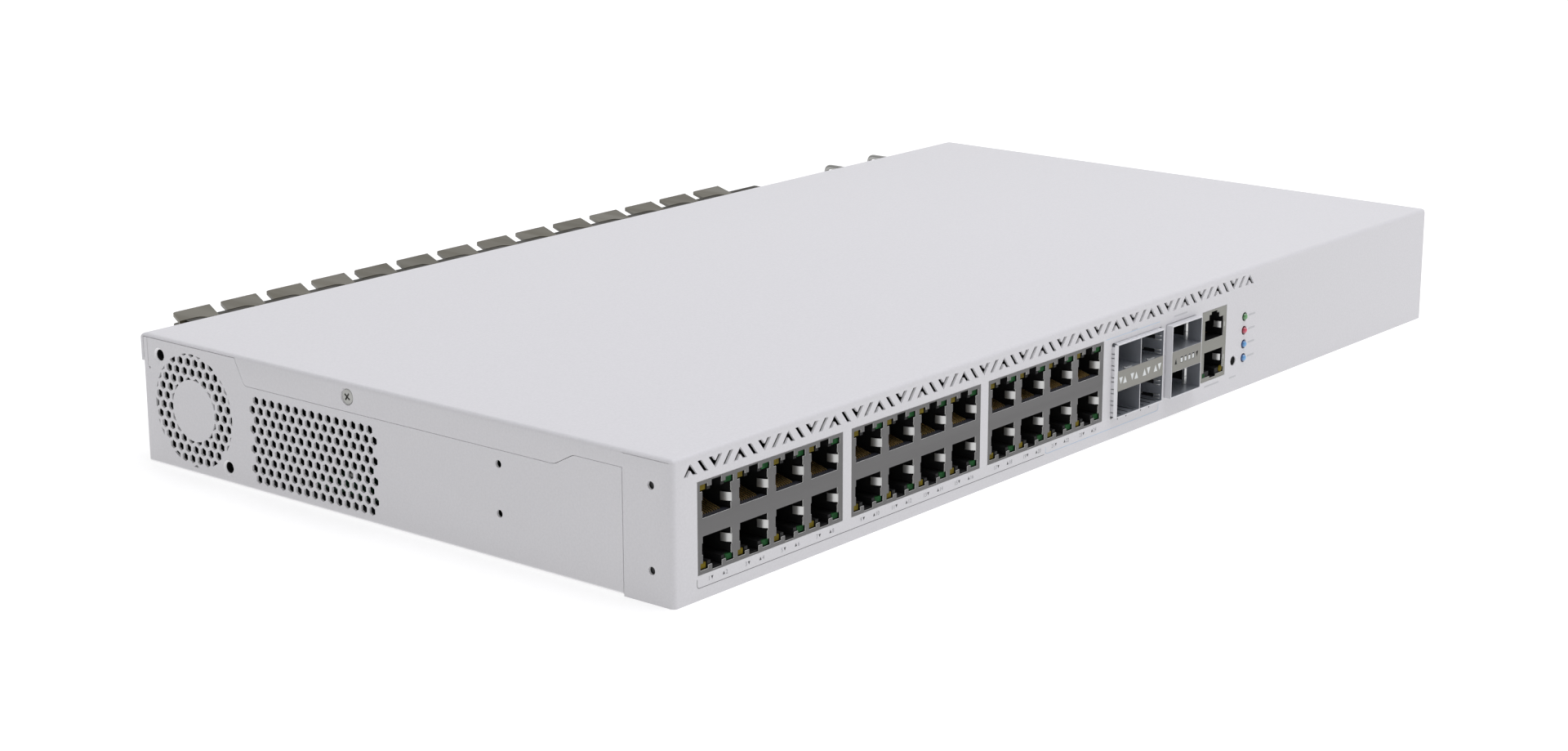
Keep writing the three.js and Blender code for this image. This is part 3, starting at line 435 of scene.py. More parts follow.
(X0, X1), (FRONT, COVER_REAR), (BOTTOM, TOP) = span("top_cover")
TRAY_REAR = span("base_tray")[1][1]
REAR = COVER_REAR - 1
REAR_CUT = (REAR - 4, REAR + 4)
SHEET = 1.0
THROUGH_SHEET = SHEET + 1e-4
SIDES = (X0, X1)
HANDS = (-1, 1)
CORNER_REAR = FRONT + 19
EAR = [(-106.8, 9.5), (-106.8, 34.6)]
EAR_MIDDLE = [(-46.9, 14.3), (-46.9, 29.5)]
COVER_SCREW = (17.6, 38.6)
FAN_CENTRE_Y, SCREW_REACH = 91.25, 16
FAN_SCREWS = [(FAN_CENTRE_Y + SCREW_REACH, 36.95), (FAN_CENTRE_Y - SCREW_REACH, 5.05)]
VENT_PITCH, VENT_ROW = 3.73, 3.235
BLOCKS = [span(f"port_block_{i}_shield") for i in (1, 2, 3)]
SMALL = span("small_module_cage")
LARGE = span("large_module_cage")
STACK = span("stacked_jack_shield")
LED_NAMES = [f"status_led_{tint}" for tint in ("green", "red", "blue_upper", "blue_lower")]
INLETS = [span("power_inlet_a"), span("power_inlet_b")]
REAR_SCREWS = ("rear_cover_screw_1", "rear_cover_screw_2")
SINK_SCREWS = ("heat_sink_screw_1", "heat_sink_screw_2")


def both_sides(shape, outlines, reach=2.5, sides=SIDES):
    """Cutting prisms through one or both side walls."""
    for side in sides:
        for outline in outlines:
            shape.prism("side", outline, side - reach, side + reach)
    return shape


def slot_outlines():
    """The row of peaks, bars, vees and strokes cut along the top of the front panel."""
    bottom, top, lean, width, gap = 37.1, 40.85, 2.96, 1.75, 3.045
    inner = width * (top - bottom) / lean

    def chevron(x, tip, base, hand):
        far, near = hand * lean, hand * (lean - width)
        return [(x, tip), (x - far, base), (x - near, base), (x, tip - hand * inner), (x + near, base),
            (x + far, base)]

    def slash(x, shift):
        return [(x, top), (x + shift, bottom), (x + shift + width, bottom), (x + width, top)]

    apex, peaks = -214.14, 15
    outlines = [chevron(apex, top, bottom, 1)]
    for _ in range(peaks - 1):
        bar = apex + gap
        vee = bar + width + gap + lean
        stroke = vee + lean + gap
        apex = stroke + width + gap
        outlines += [slash(bar, lean), chevron(vee, bottom, top, -1), slash(stroke, -lean),
            chevron(apex, top, bottom, 1)]
    return outlines


def grown(box, room_x, room_z):
    """A box's outline from the front, with room to spare on each side."""
    (x0, x1), _, (z0, z1) = box
    return rectangle(x0 - room_x, x1 + room_x, z0 - room_z, z1 + room_z)


def panel_windows():
    windows = [grown(jack, 0.12, 0.12) for jack in (*BLOCKS, STACK)]
    for cage, room_x, room_z in ((SMALL, 1, 0.4), (LARGE, 0.3, 0.3)):
        windows.append(rounded(grown(cage, room_x, room_z), 0.4))
    windows.append(ring(*centre("reset_button", "xz"), 1.75, 24))
    return windows + [ring(*centre(name, "xz"), 1.65, 24) for name in LED_NAMES]


def level(value, *places):
    return all(abs(place - value) < 0.01 for place in places)


def build_cover():
    cover = Shape().box((X0, X1), (FRONT, COVER_REAR), (BOTTOM, TOP)).as_object("cover")

    def is_bend(a, b):
        return level(TOP, a.z, b.z) or (level(FRONT, a.y, b.y) and abs(a.z - b.z) > 1)

    round_edges(cover, is_bend, 1.5)
    inside = Shape().box((X0 + SHEET, X1 - SHEET), (FRONT + SHEET, REAR), (BOTTOM - 5, TOP - SHEET))
    flange = [(CORNER_REAR, -9), (CORNER_REAR, 37.9), (-77, 37.9), (-69.5, 33.9), (65.5, 33.9),
        (69.8, TOP - SHEET), (REAR + 0.01, TOP - SHEET), (REAR + 0.01, -9)]
    sides = both_sides(Shape(), [rounded(flange, 1.2, only={2, 3, 4})], THROUGH_SHEET)
    sockets_left, sockets_right = INLETS[0][0][0] - 1, INLETS[1][0][1] + 1
    flange_low, sockets_top = 34.1, 36.6
    notch = [(X0 - 5, -9), (X1 + 5, -9), (X1 + 5, flange_low), (sockets_right, flange_low),
        (sockets_right, sockets_top), (sockets_left, sockets_top), (sockets_left, flange_low),
        (X0 - 5, flange_low)]
    rear = Shape().prism("front", notch, REAR - 0.5, COVER_REAR + 5)
    slits, holes, sinks = Shape(), Shape(), Shape()
    for side in SIDES:
        slits.box((side - 2.5, side + 2.5), (FRONT + 1.6, CORNER_REAR + 0.2), (42.08, 42.2))
        sinks.rod("x", 2.75, side - 0.6, side + 0.6, *COVER_SCREW, sides=32)
    for outline in slot_outlines() + panel_windows():
        holes.prism("front", outline, FRONT - 3, FRONT + 3)
    both_sides(holes, [ring(y, z, 1.25, 20) for y, z in EAR] + [ring(*COVER_SCREW, 1.9, 20)])
    for name in REAR_SCREWS:
        holes.rod("y", 1.8, REAR - 3, COVER_REAR + 3, *centre(name, "xz"))
    carve(cover, inside, sides, rear, slits, holes, sinks)
    finish(cover, "cover_sheet", PAINT, replaces=["top_cover"], sharp=30)


def shade_sheet():
    """Paints shade into the case's insides, which turn near black, and paints light onto the walls of its
    holes and slots.
    """
    tree = PAINT.node_tree
    x, y, z = split(tree, "Object")
    across = math_node(tree, "ABSOLUTE", x)

    def all_of(*tests):
        """1 where every test holds, each an operation, a value and a limit in millimetres."""
        masks = [math_node(tree, operation, value, limit * MM, *more)
            for operation, value, limit, *more in tests]
        result = masks[0]
        for mask in masks[1:]:
            result = math_node(tree, "MULTIPLY", result, mask)
        return result

    skin = 0.78 * SHEET
    inside = all_of(
        ("LESS_THAN", across, X1 - skin), ("GREATER_THAN", y, FRONT + skin),
        ("LESS_THAN", y, TRAY_REAR - skin), ("GREATER_THAN", z, skin), ("LESS_THAN", z, TOP - skin))
    # Painted shade: the case's inside surfaces are turned near black.
    tint_where(PAINT, inside, (0.07, 0.07, 0.072))
    wall, half, clear_of_bend = 0.4 * SHEET, 0.37 * SHEET * MM, 2
    in_side = all_of(("COMPARE", across, X1 - wall, half), ("GREATER_THAN", y, FRONT + clear_of_bend))
    in_front = all_of(("COMPARE", y, FRONT + wall, half), ("LESS_THAN", across, X1 - clear_of_bend))
    walls = math_node(tree, "MULTIPLY", math_node(tree, "ADD", in_side, in_front),
        math_node(tree, "LESS_THAN", z, (TOP - 1.6) * MM))
    # Painted light: the walls of holes and slots, within the sheet's thickness, are made lighter than the
    # paint.
    tint_where(PAINT, walls, (0.87, 0.865, 0.88))


def hexagon(y, z, flats=2.62):
    return ring(y, z, flats / math.sqrt(3), 6, math.radians(30))


def vent_outlines():
    outlines = []
    for row in range(9):
        start, count = (8.2, 15) if row % 2 == 0 else (6.33, 16)
        outlines += [hexagon(start + VENT_PITCH * i, 4.0 + VENT_ROW * row) for i in range(count)]
    return outlines


def grille_tool():
    """The round grille's hexagons, trimmed to a ring between the rim and the closed centre."""
    centre_y, centre_z, outer, inner = 91.2, 21.05, 18.9, 10.25
    band = Shape().rod("x", outer, X0 - 2, X0 + 2, centre_y, centre_z, sides=72).as_object("band")
    carve(band, Shape().rod("x", inner, X0 - 3, X0 + 3, centre_y, centre_z, sides=48))
    hexes = Shape()
    for row in range(-6, 7):
        for column in range(-6, 7):
            y = centre_y + VENT_PITCH * (column + (0.5 if row % 2 else 0))
            z = centre_z - 0.15 + VENT_ROW * row
            reach = math.hypot(y - centre_y, z - centre_z)
            if inner - 0.9 < reach < outer + 0.9:
                hexes.prism("side", hexagon(y, z), X0 - 2.5, X0 + 2.5)
    return carve(band, hexes, operation="INTERSECT")


def rear_openings():
    """The rear wall's openings for the inlets, the heat pipes and the screws."""
    rear = Shape()
    for inlet in INLETS:
        x, z = middle(inlet[0]), middle(inlet[2])
        rear.prism("front", oblong(x, z, 10.2, 13.7), *REAR_CUT)
    left, right = span("heat_pipe_left")[0][1], span("heat_pipe_right")[0][0]
    z0, z1 = span("heat_pipe_centre")[2]
    rear.prism("front", rounded(rectangle(left - 7.5, right + 7.5, z0 - 1.5, z1 + 1.5), 2), *REAR_CUT)
    radii = {"ground_screw": 2.2, **dict.fromkeys(SINK_SCREWS, 2), **dict.fromkeys(REAR_SCREWS, 1.8)}
    for name, radius in radii.items():
        rear.rod("y", radius, *REAR_CUT, *centre(name, "xz"))
    return rear


def build_tray():
    front_edge = CORNER_REAR + 0.3
    wall_top = TOP - SHEET - 0.14
    tray = Shape().box((X0, X1), (front_edge, TRAY_REAR), (0, wall_top)).as_object("tray")

    def is_bend(a, b):
        return level(0, a.z, b.z) and abs(a.x) > 200 and abs(a.x - b.x) < 1

    round_edges(tray, is_bend, 0.8, 3)
    inside = Shape().box(
        (X0 + SHEET, X1 - SHEET), (front_edge - 5, TRAY_REAR - SHEET), (SHEET, wall_top + 5))
    above = [(front_edge - 5, 37.76), (-77.1, 37.76), (-69.55, 33.76), (65.55, 33.76), (69.95, wall_top),
        (69.95, wall_top + 5), (front_edge - 5, wall_top + 5)]
    trim = both_sides(Shape(), [rounded(above, 1.2, only={1, 2, 3})], THROUGH_SHEET)
    holes = both_sides(Shape(), vent_outlines() + [ring(y, z, 1.2, 20) for y, z in EAR_MIDDLE])
    both_sides(holes, [ring(y, z, 1.9, 20) for y, z in FAN_SCREWS], sides=(X0,))
    holes.rod("x", 0.45, X0 - 1, X0 + 2, 112.3, 32.2, sides=12)
    holes.box((X0 - 1, X0 + 2), (112.85, 113.1), (32.6, wall_top + 1))
    dimples = Shape()
    for y, z in FAN_SCREWS:
        dimples.turned("x", [(0, X0 - 0.2), (2.75, X0 - 0.2), (1.95, X0 + 0.55), (0, X0 + 0.55)], y, z, 28)
    carve(tray, inside, trim, holes, dimples, rear_openings(), grille_tool())
    finish(tray, "tray_sheet", PAINT, replaces=["base_tray"], sharp=30)
    build_inner_folds(front_edge, wall_top)


def build_inner_folds(front_edge, wall_top):
    """The tray's lips behind the front panel, and the pillars under its boards."""
    gap = 0.3
    inner, front = X1 - SHEET - gap, FRONT + SHEET + gap
    lip = Shape()
    lip.box((-inner, inner), (front, front_edge), (0, SHEET))
    lip.box((-inner + SHEET, inner - SHEET), (front, front + SHEET), (SHEET, 4.2))
    for hand in HANDS:
        sides = sorted((hand * inner, hand * (inner - SHEET)))
        lip.box(sides, (front, front_edge + SHEET), (SHEET, wall_top))
        lip.box(sorted((hand * inner, hand * (inner + gap))), (front_edge, front_edge + SHEET),
            (SHEET, 37.6))
        lip.box(sides, (COVER_SCREW[0] - 9, COVER_SCREW[0] + 9), (32.1, wall_top))
    pillars = [centre(f"board_screw_{i}", "xy") for i in (1, 2, 3, 4)]
    from_end = 4
    for letter in "ab":
        board_x, (y0, y1), _ = span(f"supply_{letter}_board")
        pillars += [(middle(board_x), y0 + from_end), (middle(board_x), y1 - from_end)]
    for x, y in pillars:
        lip.rod("z", 3.2, 0.5, 4.9, x, y)
    finish(lip, "tray_inner_folds", PAINT)


shade_sheet()
build_cover()
build_tray()


# ---- Screws ----

def cross_screw(node, axis, head_high, head_radius, flat=False):
    """A screw along an axis; its head, at the high or the low end, has a cross recess."""
    u, v = centre(node, AXES.replace(axis, ""))
    low, high = span(node)[AXES.index(axis)]
    face, tip = (high, low) if head_high else (low, high)
    sign = 1 if head_high else -1
    thickness, shank = (0.9 if flat else 1.8), 1.45
    rim, arm, slot = head_radius, head_radius * 0.55, 0.3
    profile = [(0, face), (arm, face), (rim * 0.93, face - sign * thickness * 0.12),
        (rim, face - sign * thickness * 0.35),
        (shank + 0.3 if flat else rim, face - sign * thickness),
        (shank, face - sign * (thickness + 0.05)), (shank, tip + sign * 0.5), (shank * 0.7, tip),
        (0, tip)]
    screw = Shape().turned(axis, profile, u, v, 28).as_object("screw")
    cross, quarter = [], [(slot, slot), (slot, arm), (-slot, arm)]
    for _ in range(4):
        cross += quarter
        quarter = [(-q, p) for p, q in quarter]
    cosine, sine, depth = 0.8, 0.6, 0.8
    turned = [(u + p * cosine - q * sine, v + p * sine + q * cosine) for p, q in cross]
    carve(screw, Shape().prism(ALONG[axis], turned, *sorted((face + sign, face - sign * depth))))
    finish(screw, f"{node}_cross_head", ZINC, replaces=[node])


def build_screws():
    for node, head_high in (("cover_screw_left", False), ("cover_screw_right", True)):
        cross_screw(node, "x", head_high, 2.45, flat=True)
    for node in (*REAR_SCREWS, "ground_screw", *SINK_SCREWS):
        x0, x1 = span(node)[0]
        cross_screw(node, "y", node not in SINK_SCREWS, (x1 - x0) / 2)
    for i in (1, 2, 3, 4):
        cross_screw(f"board_screw_{i}", "z", True, 2.8)


build_screws()


# ---- Copper ports ----

ROW_MIDDLE = middle(BLOCKS[0][2])
PORT_FIRST, PORT_PITCH = 8.35, 16.25
CONTACT_PITCH = 1.02
SPRING_SHEET = 0.22
SHIELD_FACE = FRONT + 0.31


def port_places():
    """Each port's middle, and 1 in the upper row or -1 in the lower row."""
    places = []
    for block in BLOCKS:
        for column in range(4):
            for row in (1, -1):
                places.append((block[0][0] + PORT_FIRST + PORT_PITCH * column, row))
    return places


def behind(*depths):
    """Places behind the front panel's face."""
    return [FRONT + depth for depth in depths]


def height_in(row, height):
    """A height in the upper row, or its mirror image in the lower row."""
    return ROW_MIDDLE + row * (height - ROW_MIDDLE)


def heights_in(row, low, high):
    return sorted((height_in(row, low), height_in(row, high)))


def build_port_housings():
    """Each block's black moulding, with a cavity, a latch recess and two shallow lamp recesses per port."""
    places = port_places()
    for i in range(3):
        node = f"port_block_{i + 1}_housing"
        hx, hy, hz = span(node)
        mouth = hy[0] - 1
        cavities, latches, lamps = (Shape() for _ in range(3))
        latch_top = min(34.2, hz[1] - 0.25, 2 * ROW_MIDDLE - hz[0] - 0.25)
        for x, row in places[8 * i:8 * i + 8]:
            cavities.box((x - 6.2, x + 6.2), (mouth, FRONT + 14), heights_in(row, 23.5, 31.4))
            latches.box((x - 2.3, x + 2.3), (mouth, FRONT + 7), heights_in(row, 31.2, latch_top))
            for hand in HANDS:
                lamps.box(sorted((x + hand * 3.7, x + hand * 7.35)), (mouth, FRONT + 1.4),
                    heights_in(row, 31.3, 33.6))
        housing = Shape().box(hx, hy, hz).as_object("housing")
        carve(housing, cavities, latches, lamps)
        finish(housing, f"{node}_moulding", BLACK, replaces=[node])


def add_contacts(shape, x, line, thickness, half):
    """A port's eight contacts, each bent along the line."""
    for i in range(8):
        at = x + (i - 3.5) * CONTACT_PITCH
        shape.strip("side", line, thickness, at - half, at + half)


def build_port_details():
    contacts, springs, ambers, greens, floors = (Shape() for _ in range(5))
    # Painted shade: the port springs darken towards the rear.
    shade_with_depth(PORT_SPRING_IN_PAINTED_SHADE, FRONT + 0.9, 2.2, (0.24, 0.24, 0.235))
    for x, row in port_places():
        line = [(FRONT + y, height_in(row, z))
            for y, z in ((2.2, 23.75), (7.85, 25.4), (12.8, 27.5), (13.4, 27.7))]
        add_contacts(contacts, x, line, 0.34, 0.17)
        bent = [(6.48, 0.05), (6.3, 0.45), (5.8, 1.2), (5.45, 2.3), (5.3, 3.3)]
        right_line = [(x + off, FRONT + y) for off, y in bent]
        left_line = [(2 * x - u, y) for u, y in right_line[1:]]
        for line in (right_line, left_line):
            springs.strip("flat", line, SPRING_SHEET, *heights_in(row, 25.7, 28.25))
        for lamps, near, far in ((ambers, -7.2, -4.2), (greens, 4.2, 7.2)):
            lamps.box((x + near, x + far), behind(0.75, 1.41), heights_in(row, 31.6, 33.3))
        if row > 0:
            floors.box((x - 6.1, x + 6.1), behind(0.62, 2.6), (23.4, 23.56))
    finish(contacts, "port_contacts", GOLD, sharp=50)
    finish(springs, "port_shield_springs", PORT_SPRING_IN_PAINTED_SHADE)
    finish(ambers, "port_amber_windows", AMBER)
    finish(greens, "port_green_windows", GREEN_DIM)
    finish(floors, "port_floor_lips", FLOOR_PLASTIC)


def build_stack_details():
    x = middle(STACK[0])
    contacts, springs, roots = Shape(), Shape(), Shape()
    for floor, rise, spring_low in ((22.4, 1, 24.5), (17.0, -1, 12.6)):
        line = [(FRONT + y, floor + k * rise) for y, k in ((5.2, 0), (7.85, 0.8), (12.8, 3))]
        add_contacts(contacts, x, line, 0.3, 0.2)
        line = [(x + off, FRONT + y) for off, y in ((6.1, 0.9), (5.75, 1.4), (5.5, 2.6), (5.4, 3.5))]
        springs.strip("flat", line, SPRING_SHEET, spring_low, spring_low + 2.3)
        roots.box((x + 6.25, x + 7.2), behind(-0.03, 0.1), (spring_low + 0.5, spring_low + 2.2))
    finish(contacts, "stacked_jack_contacts", GOLD, sharp=50)
    finish(springs, "stacked_jack_springs", SPRING)
    finish(roots, "stacked_jack_spring_roots", ZINC, slot="cage_metal")
    lamp_back = FRONT + 0.66
    green = Shape().box((x - 7.1, x - 4.9), (FRONT + 0.35, lamp_back), (8.55, 9.8))
    amber = Shape().turned("y", [(0, FRONT + 0.2), (0.8, FRONT + 0.25), (1.15, FRONT + 0.45),
        (1.2, lamp_back), (0, lamp_back)], x + 5.7, 9.7, 20)
    finish(green, "stacked_jack_green_window", GREEN_DIM)
    finish(amber, "stacked_jack_amber_window", AMBER)


# Painted highlight: the shields' cut edges are made light and matte.
brighten_cut_edges(JACK, (0.68, 0.68, 0.67), matte_to=SHIELD_FACE)
brighten_cut_edges(PALE_JACK, (0.6, 0.6, 0.57), matte_to=SHIELD_FACE)
build_port_housings()
build_port_details()
build_stack_details()


# ---- Module cages ----

BAY_HEIGHT = 8.9
CAGE_WALL = 0.3
CAGE_SHEET = 0.12


def small_cage_fingers():
    """The solid collar of the small cage, then the spring fingers that press on the panel's window."""
    (x0, x1), (front, _), (z0, z1) = SMALL
    collar, fingers = Shape(), Shape()
    sides = [(front - 0.02, 0.06), (FRONT - 1.05, 0.82)]
    bowed = [(FRONT - 1.08, 0.83), (FRONT - 0.3, 0.92), (FRONT + 1.6, 0.7), (FRONT + 5, 0.16)]
    flat = [(front - 0.02, 0.06), (FRONT - 1.05, 0.16)]
    flat_bowed = [(FRONT - 1.08, 0.17), (FRONT - 0.2, 0.24), (FRONT + 5, 0.14)]

    def both(shape, plane, line, a, b):
        """A bent strip on each side of the cage, or above and below it."""
        for edge, hand in zip((x0, x1) if plane == "flat" else (z0, z1), HANDS):
            points = [(y, edge + hand * off) for y, off in line]
            if plane == "flat":
                points = [(x, y) for y, x in points]
            shape.strip(plane, points, CAGE_SHEET, a, b)

    both(collar, "flat", sides, z0, z1)
    both(collar, "side", flat, x0, x1)
    low, width, other_width, gap = z0 + 0.6, 1.2, 2.3, 0.28
    while low < z1 - 1.6:
        both(fingers, "flat", bowed, low, low + width)
        low, width, other_width = low + width + gap, other_width, width
    left, width, gap = x0 + 0.4, 2.35, 0.2
    while left < x1 - 2.4:
        both(fingers, "side", flat_bowed, left, left + width)
        left += width + gap
    finish(collar, "small_cage_collar", RIM, sharp=25)
    finish(fingers, "small_cage_fingers", RIM, sharp=25)


def large_cage_collar():
    """The smooth plated sleeve of the large cage where it stands out of the panel."""
    front = LARGE[1][0]
    sleeve = Shape().prism("front", grown(LARGE, 0.1, 0.1), front - 0.02, FRONT + 4).as_object("sleeve")
    carve(sleeve, Shape().prism("front", grown(LARGE, -0.02, -0.02), front - 2, FRONT + 6))
    finish(sleeve, "large_cage_collar", RIM)


def arrow(x, z, half_width, half_height, up):
    rise = half_height if up else -half_height
    return [(x - half_width, z - rise), (x + half_width, z - rise), (x, z + rise)]


def band_outline(cage):
    """The cage's front, the height of the band between its rows, and the band's outline."""
    (x0, x1), (front, _), (z0, z1) = cage
    z, half = middle((z0, z1)), (z1 - z0) / 2 - CAGE_WALL - BAY_HEIGHT
    return front, z, rectangle(x0 + 0.25, x1 - 0.25, z - half, z + half)


def cage_bands():
    """The band between the rows of bays, with the light pipe's windows in it."""
    front, z, outline = band_outline(SMALL)
    band, lit = Shape().prism("front", outline, front - 0.06, front + 0.1), Shape()
    for i, x in enumerate((2.6, 9.6, 17.2, 24.1)):
        for dx, up in ((0, i > 1), (2.5, i < 2)):
            lit.prism("front", arrow(x + dx, z, 1.1, 1.2, up), front - 0.08, front + 0.05)
    front, z, outline = band_outline(LARGE)
    plate = Shape().prism("front", outline, front - 0.06, front + 0.25).as_object("plate")
    first = LARGE[0][0] + 2.5
    cuts, recess = Shape(), Shape()
    for x, up in ((first, True), (first + 13.7, False)):
        cuts.prism("front", arrow(x, z, 0.8, 1.1, up), front - 1, front + 1)
    for i in range(4):
        x = first + 3.8 + 2.5 * i
        cuts.prism("front", oblong(x, z, 0.75, 1.1), front - 1, front + 1)
        lit.prism("front", rectangle(x - 0.55, x + 0.6, z - 0.95, z + 0.55), front + 0.02, front + 0.3)
    carve(plate, cuts)
    recess.box((first - 0.9, first + 14.6), (front + 0.12, front + 0.2), (z - 1.2, z + 1.2))
    finish(band, "small_cage_band", BAND)
    finish(plate, "large_cage_band", BAND)
    finish(recess, "large_cage_recess", BLACK)
    finish(lit, "cage_light_windows", WINDOW)


def small_bay_details(bright, dark):
    """Latch tongues on the upper floors and prongs on the outer wall; black plates put in as painted shade
    stand for the slots in the lower floors and in the wall.
    """
    (x0, x1), (front, _), (z0, z1) = SMALL
    pitch = (x1 - x0 - CAGE_WALL) / 2
    low, high = z0 + CAGE_WALL, z1 - CAGE_WALL - BAY_HEIGHT
    for column in range(2):
        left = x0 + CAGE_WALL + pitch * column
        bright.box((left + 4.8, left + 9.2), (front + 0.5, front + 1.1), (high + 0.05, high + 0.25))
        bright.prism("front", [(left + 4.8, high), (left + 5.7, high), (left + 4.8, high + 0.7)],
            front + 0.5, front + 1.6)
        for dx in (4.3, 8.3, 12.0):
            dark.box((left + dx - 0.25, left + dx + 0.25), (front + 1.2, front + 8), (low, low + 0.06))
    wall = x1 - CAGE_WALL
    for floor in (low, high):
        for lower, upper in ((0.6, 1.8), (5.4, 6.8)):
            for height in (lower, upper):
                line = [(wall - off, front + y) for off, y in ((0.05, 0.9), (0.4, 1.9), (0.1, 3.4))]
                bright.strip("flat", line, 0.15, floor + height - 0.2, floor + height + 0.2)
            dark.box((wall - 0.05, wall), (front + 3.4, front + 8.2), (floor + lower, floor + upper))
        bright.box((wall - 0.5, wall - 0.1), (front + 7.8, front + 8.8), (floor + 1.2, floor + 1.8))


def large_bay_details(bright, dark):
    """A standing spring rib on the outer wall of each large bay, with a black plate behind it as painted
    shade.
    """
    (x0, x1), (front, _), (z0, z1) = LARGE
    wall = x1 - CAGE_WALL
    rib = (BAY_HEIGHT - 0.1) / 3
    for floor in (z0 + CAGE_WALL, z1 - CAGE_WALL - BAY_HEIGHT):
        for k in range(3):
            low = floor + 0.1 + k * rib
            bent = ((0.05, 2.8), (0.55, 3.3), (0.6, 4.0), (0.1, 4.5))
            line = [(wall - off, FRONT + y) for off, y in bent]
            bright.strip("flat", line, CAGE_SHEET, low, low + rib - 0.15)
        dark.box((wall - 0.06, wall), behind(4.5, 40), (floor + 1.4, floor + BAY_HEIGHT))


def build_cages():
    small_cage_fingers()
    large_cage_collar()
    cage_bands()
    bright, dark = Shape(), Shape()
    small_bay_details(bright, dark)
    large_bay_details(bright, dark)
    finish(bright, "bay_springs", SPRING)
    # The black plates are painted shade, put in the bays' slots and behind their ribs.
    finish(dark, "bay_slots", BLACK)


build_cages()


# ---- Lights, reset button ----

def build_lights():
    # Painted light and shade: each lens keeps its light colour at the tip and darkens to a rim colour
    # behind it.
    painted_shade_rims = {"green": (0.015, 0.07, 0.02), "red": (0.2, 0.008, 0.025), "blue": (0.008, 0.045, 0.19)}
    tip = span(LED_NAMES[0])[1][0]
    for tint, rim in painted_shade_rims.items():
        shade_with_depth(LENS[tint], tip + 0.15, 1.0, rim)
    radius, steps = 1.2, 8
    for node, tint in zip(LED_NAMES, ("green", "red", "blue", "blue")):
        front, back = span(node)[1]
        angles = [math.pi / 2 * k / steps for k in range(1, steps + 1)]
        dome = [(radius * math.sin(a), front + radius * (1 - math.cos(a))) for a in angles]
        profile = [(0, front), *dome, (radius, back), (0, back)]
        finish(Shape().turned("y", profile, *centre(node, "xz"), 28), f"{node}_dome", LENS[tint],
            replaces=[node], sharp=60)
    front, back = span("reset_button")[1]
    profile = [(0, front + 0.1), (0.9, front + 0.06), (1.3, front + 0.02), (1.48, front + 0.12),
        (1.54, front + 0.4), (1.54, back), (0, back)]
    finish(Shape().turned("y", profile, *centre("reset_button", "xz"), 28), "reset_plunger", RUBBER,
        body="reset", replaces=["reset_button"])


build_lights()


# ---- Printed marks ----

MARK = behind(-0.03, 0.05)


def digits(text, height, x, z):
    """A number as a mesh, its centre at x, z on the front panel, as (verts, faces) in millimetres."""
    curve = bpy.data.curves.new("number", "FONT")
    curve.body = text
    curve.align_x = "CENTER"
    curve.resolution_u = 3
    obj = new_object("number", curve)
    mesh = mesh_of(obj)
    bpy.data.objects.remove(obj)
    ups = [v.co.y for v in mesh.vertices]
    low, high = min(ups), max(ups)
    scale = height / (high - low)
    verts = [(x + v.co.x * scale, MARK[0], z + (v.co.y - middle((low, high))) * scale)
        for v in mesh.vertices]
    faces = [list(p.vertices) for p in mesh.polygons]
    bpy.data.meshes.remove(mesh)
    return verts, faces


def bar_outline(a, b, half):
    """A straight bar from a to b."""
    along = (b - a).normalized()
    across = Vector((-along.y, along.x)) * half
    return [tuple(p) for p in (a - across, b - across, b + across, a + across)]


def bracket(shape, points, width=0.17):
    """A printed line of even width through the points, with square ends."""
    half = width / 2
    for start, end in zip(points, points[1:]):
        a, b = Vector(start), Vector(end)
        overlap = (b - a).normalized() * half
        shape.prism("front", bar_outline(a - overlap, b + overlap, half), *MARK)


def build_marks():
    marks = {tone: Shape() for tone in INKS}
    number, height = 0, 5.2
    for block in BLOCKS:
        for column in range(4):
            x = block[0][0] + PORT_FIRST - 0.2 + PORT_PITCH * column
            for dx, pointer, up in ((-3.4, -2.1, False), (4.3, 3.0, True)):
                number += 1
                wide = 0.35 if number > 9 else 0
                marks["grey"].add(*digits(str(number), 1.3, x + dx + (wide if up else -wide), height))
                marks["dark"].prism("front", arrow(x + pointer, height, 0.5, 0.5, up), *MARK)
    bracket(marks["line"], [(-211.7, 5.9), (-211.7, 3.9), (-211.3, 3.4), (-210.7, 3.27), (-39.5, 3.27)])
    bracket(marks["blue"], [(-38.7, 5.6), (-38.7, 3.9), (-38.3, 3.4), (-37.7, 3.3), (28.4, 3.3),
        (29.1, 3.5), (29.5, 4.0), (29.5, 5.6)])
    bracket(marks["blue"], [(-4, 34.8), (29, 34.8)])
    for x in (4.0, 9.2, 18.3, 23.5, 39.9, 45.2):
        marks["dark"].prism("front", arrow(x, 5.75, 0.45, 0.32, False), *MARK)
    for name in LED_NAMES:
        x, z = centre(name, "xz")
        bracket(marks["pale"], [(x + 3.2, z + 0.1), (x + 7.0, z + 0.1)], 0.7)
    for x, z, length in ((13.2, 35.2, 3), (42.3, 34.9, 8), (64.4, 5.2, 9), (78.6, 5.0, 4)):
        bracket(marks["pale"], [(x - length / 2, z), (x + length / 2, z)], 0.6)
    for tone, shape in marks.items():
        finish(shape, f"printed_marks_{tone}", INKS[tone])


build_marks()


# ---- Rear heat sink and pipes ----

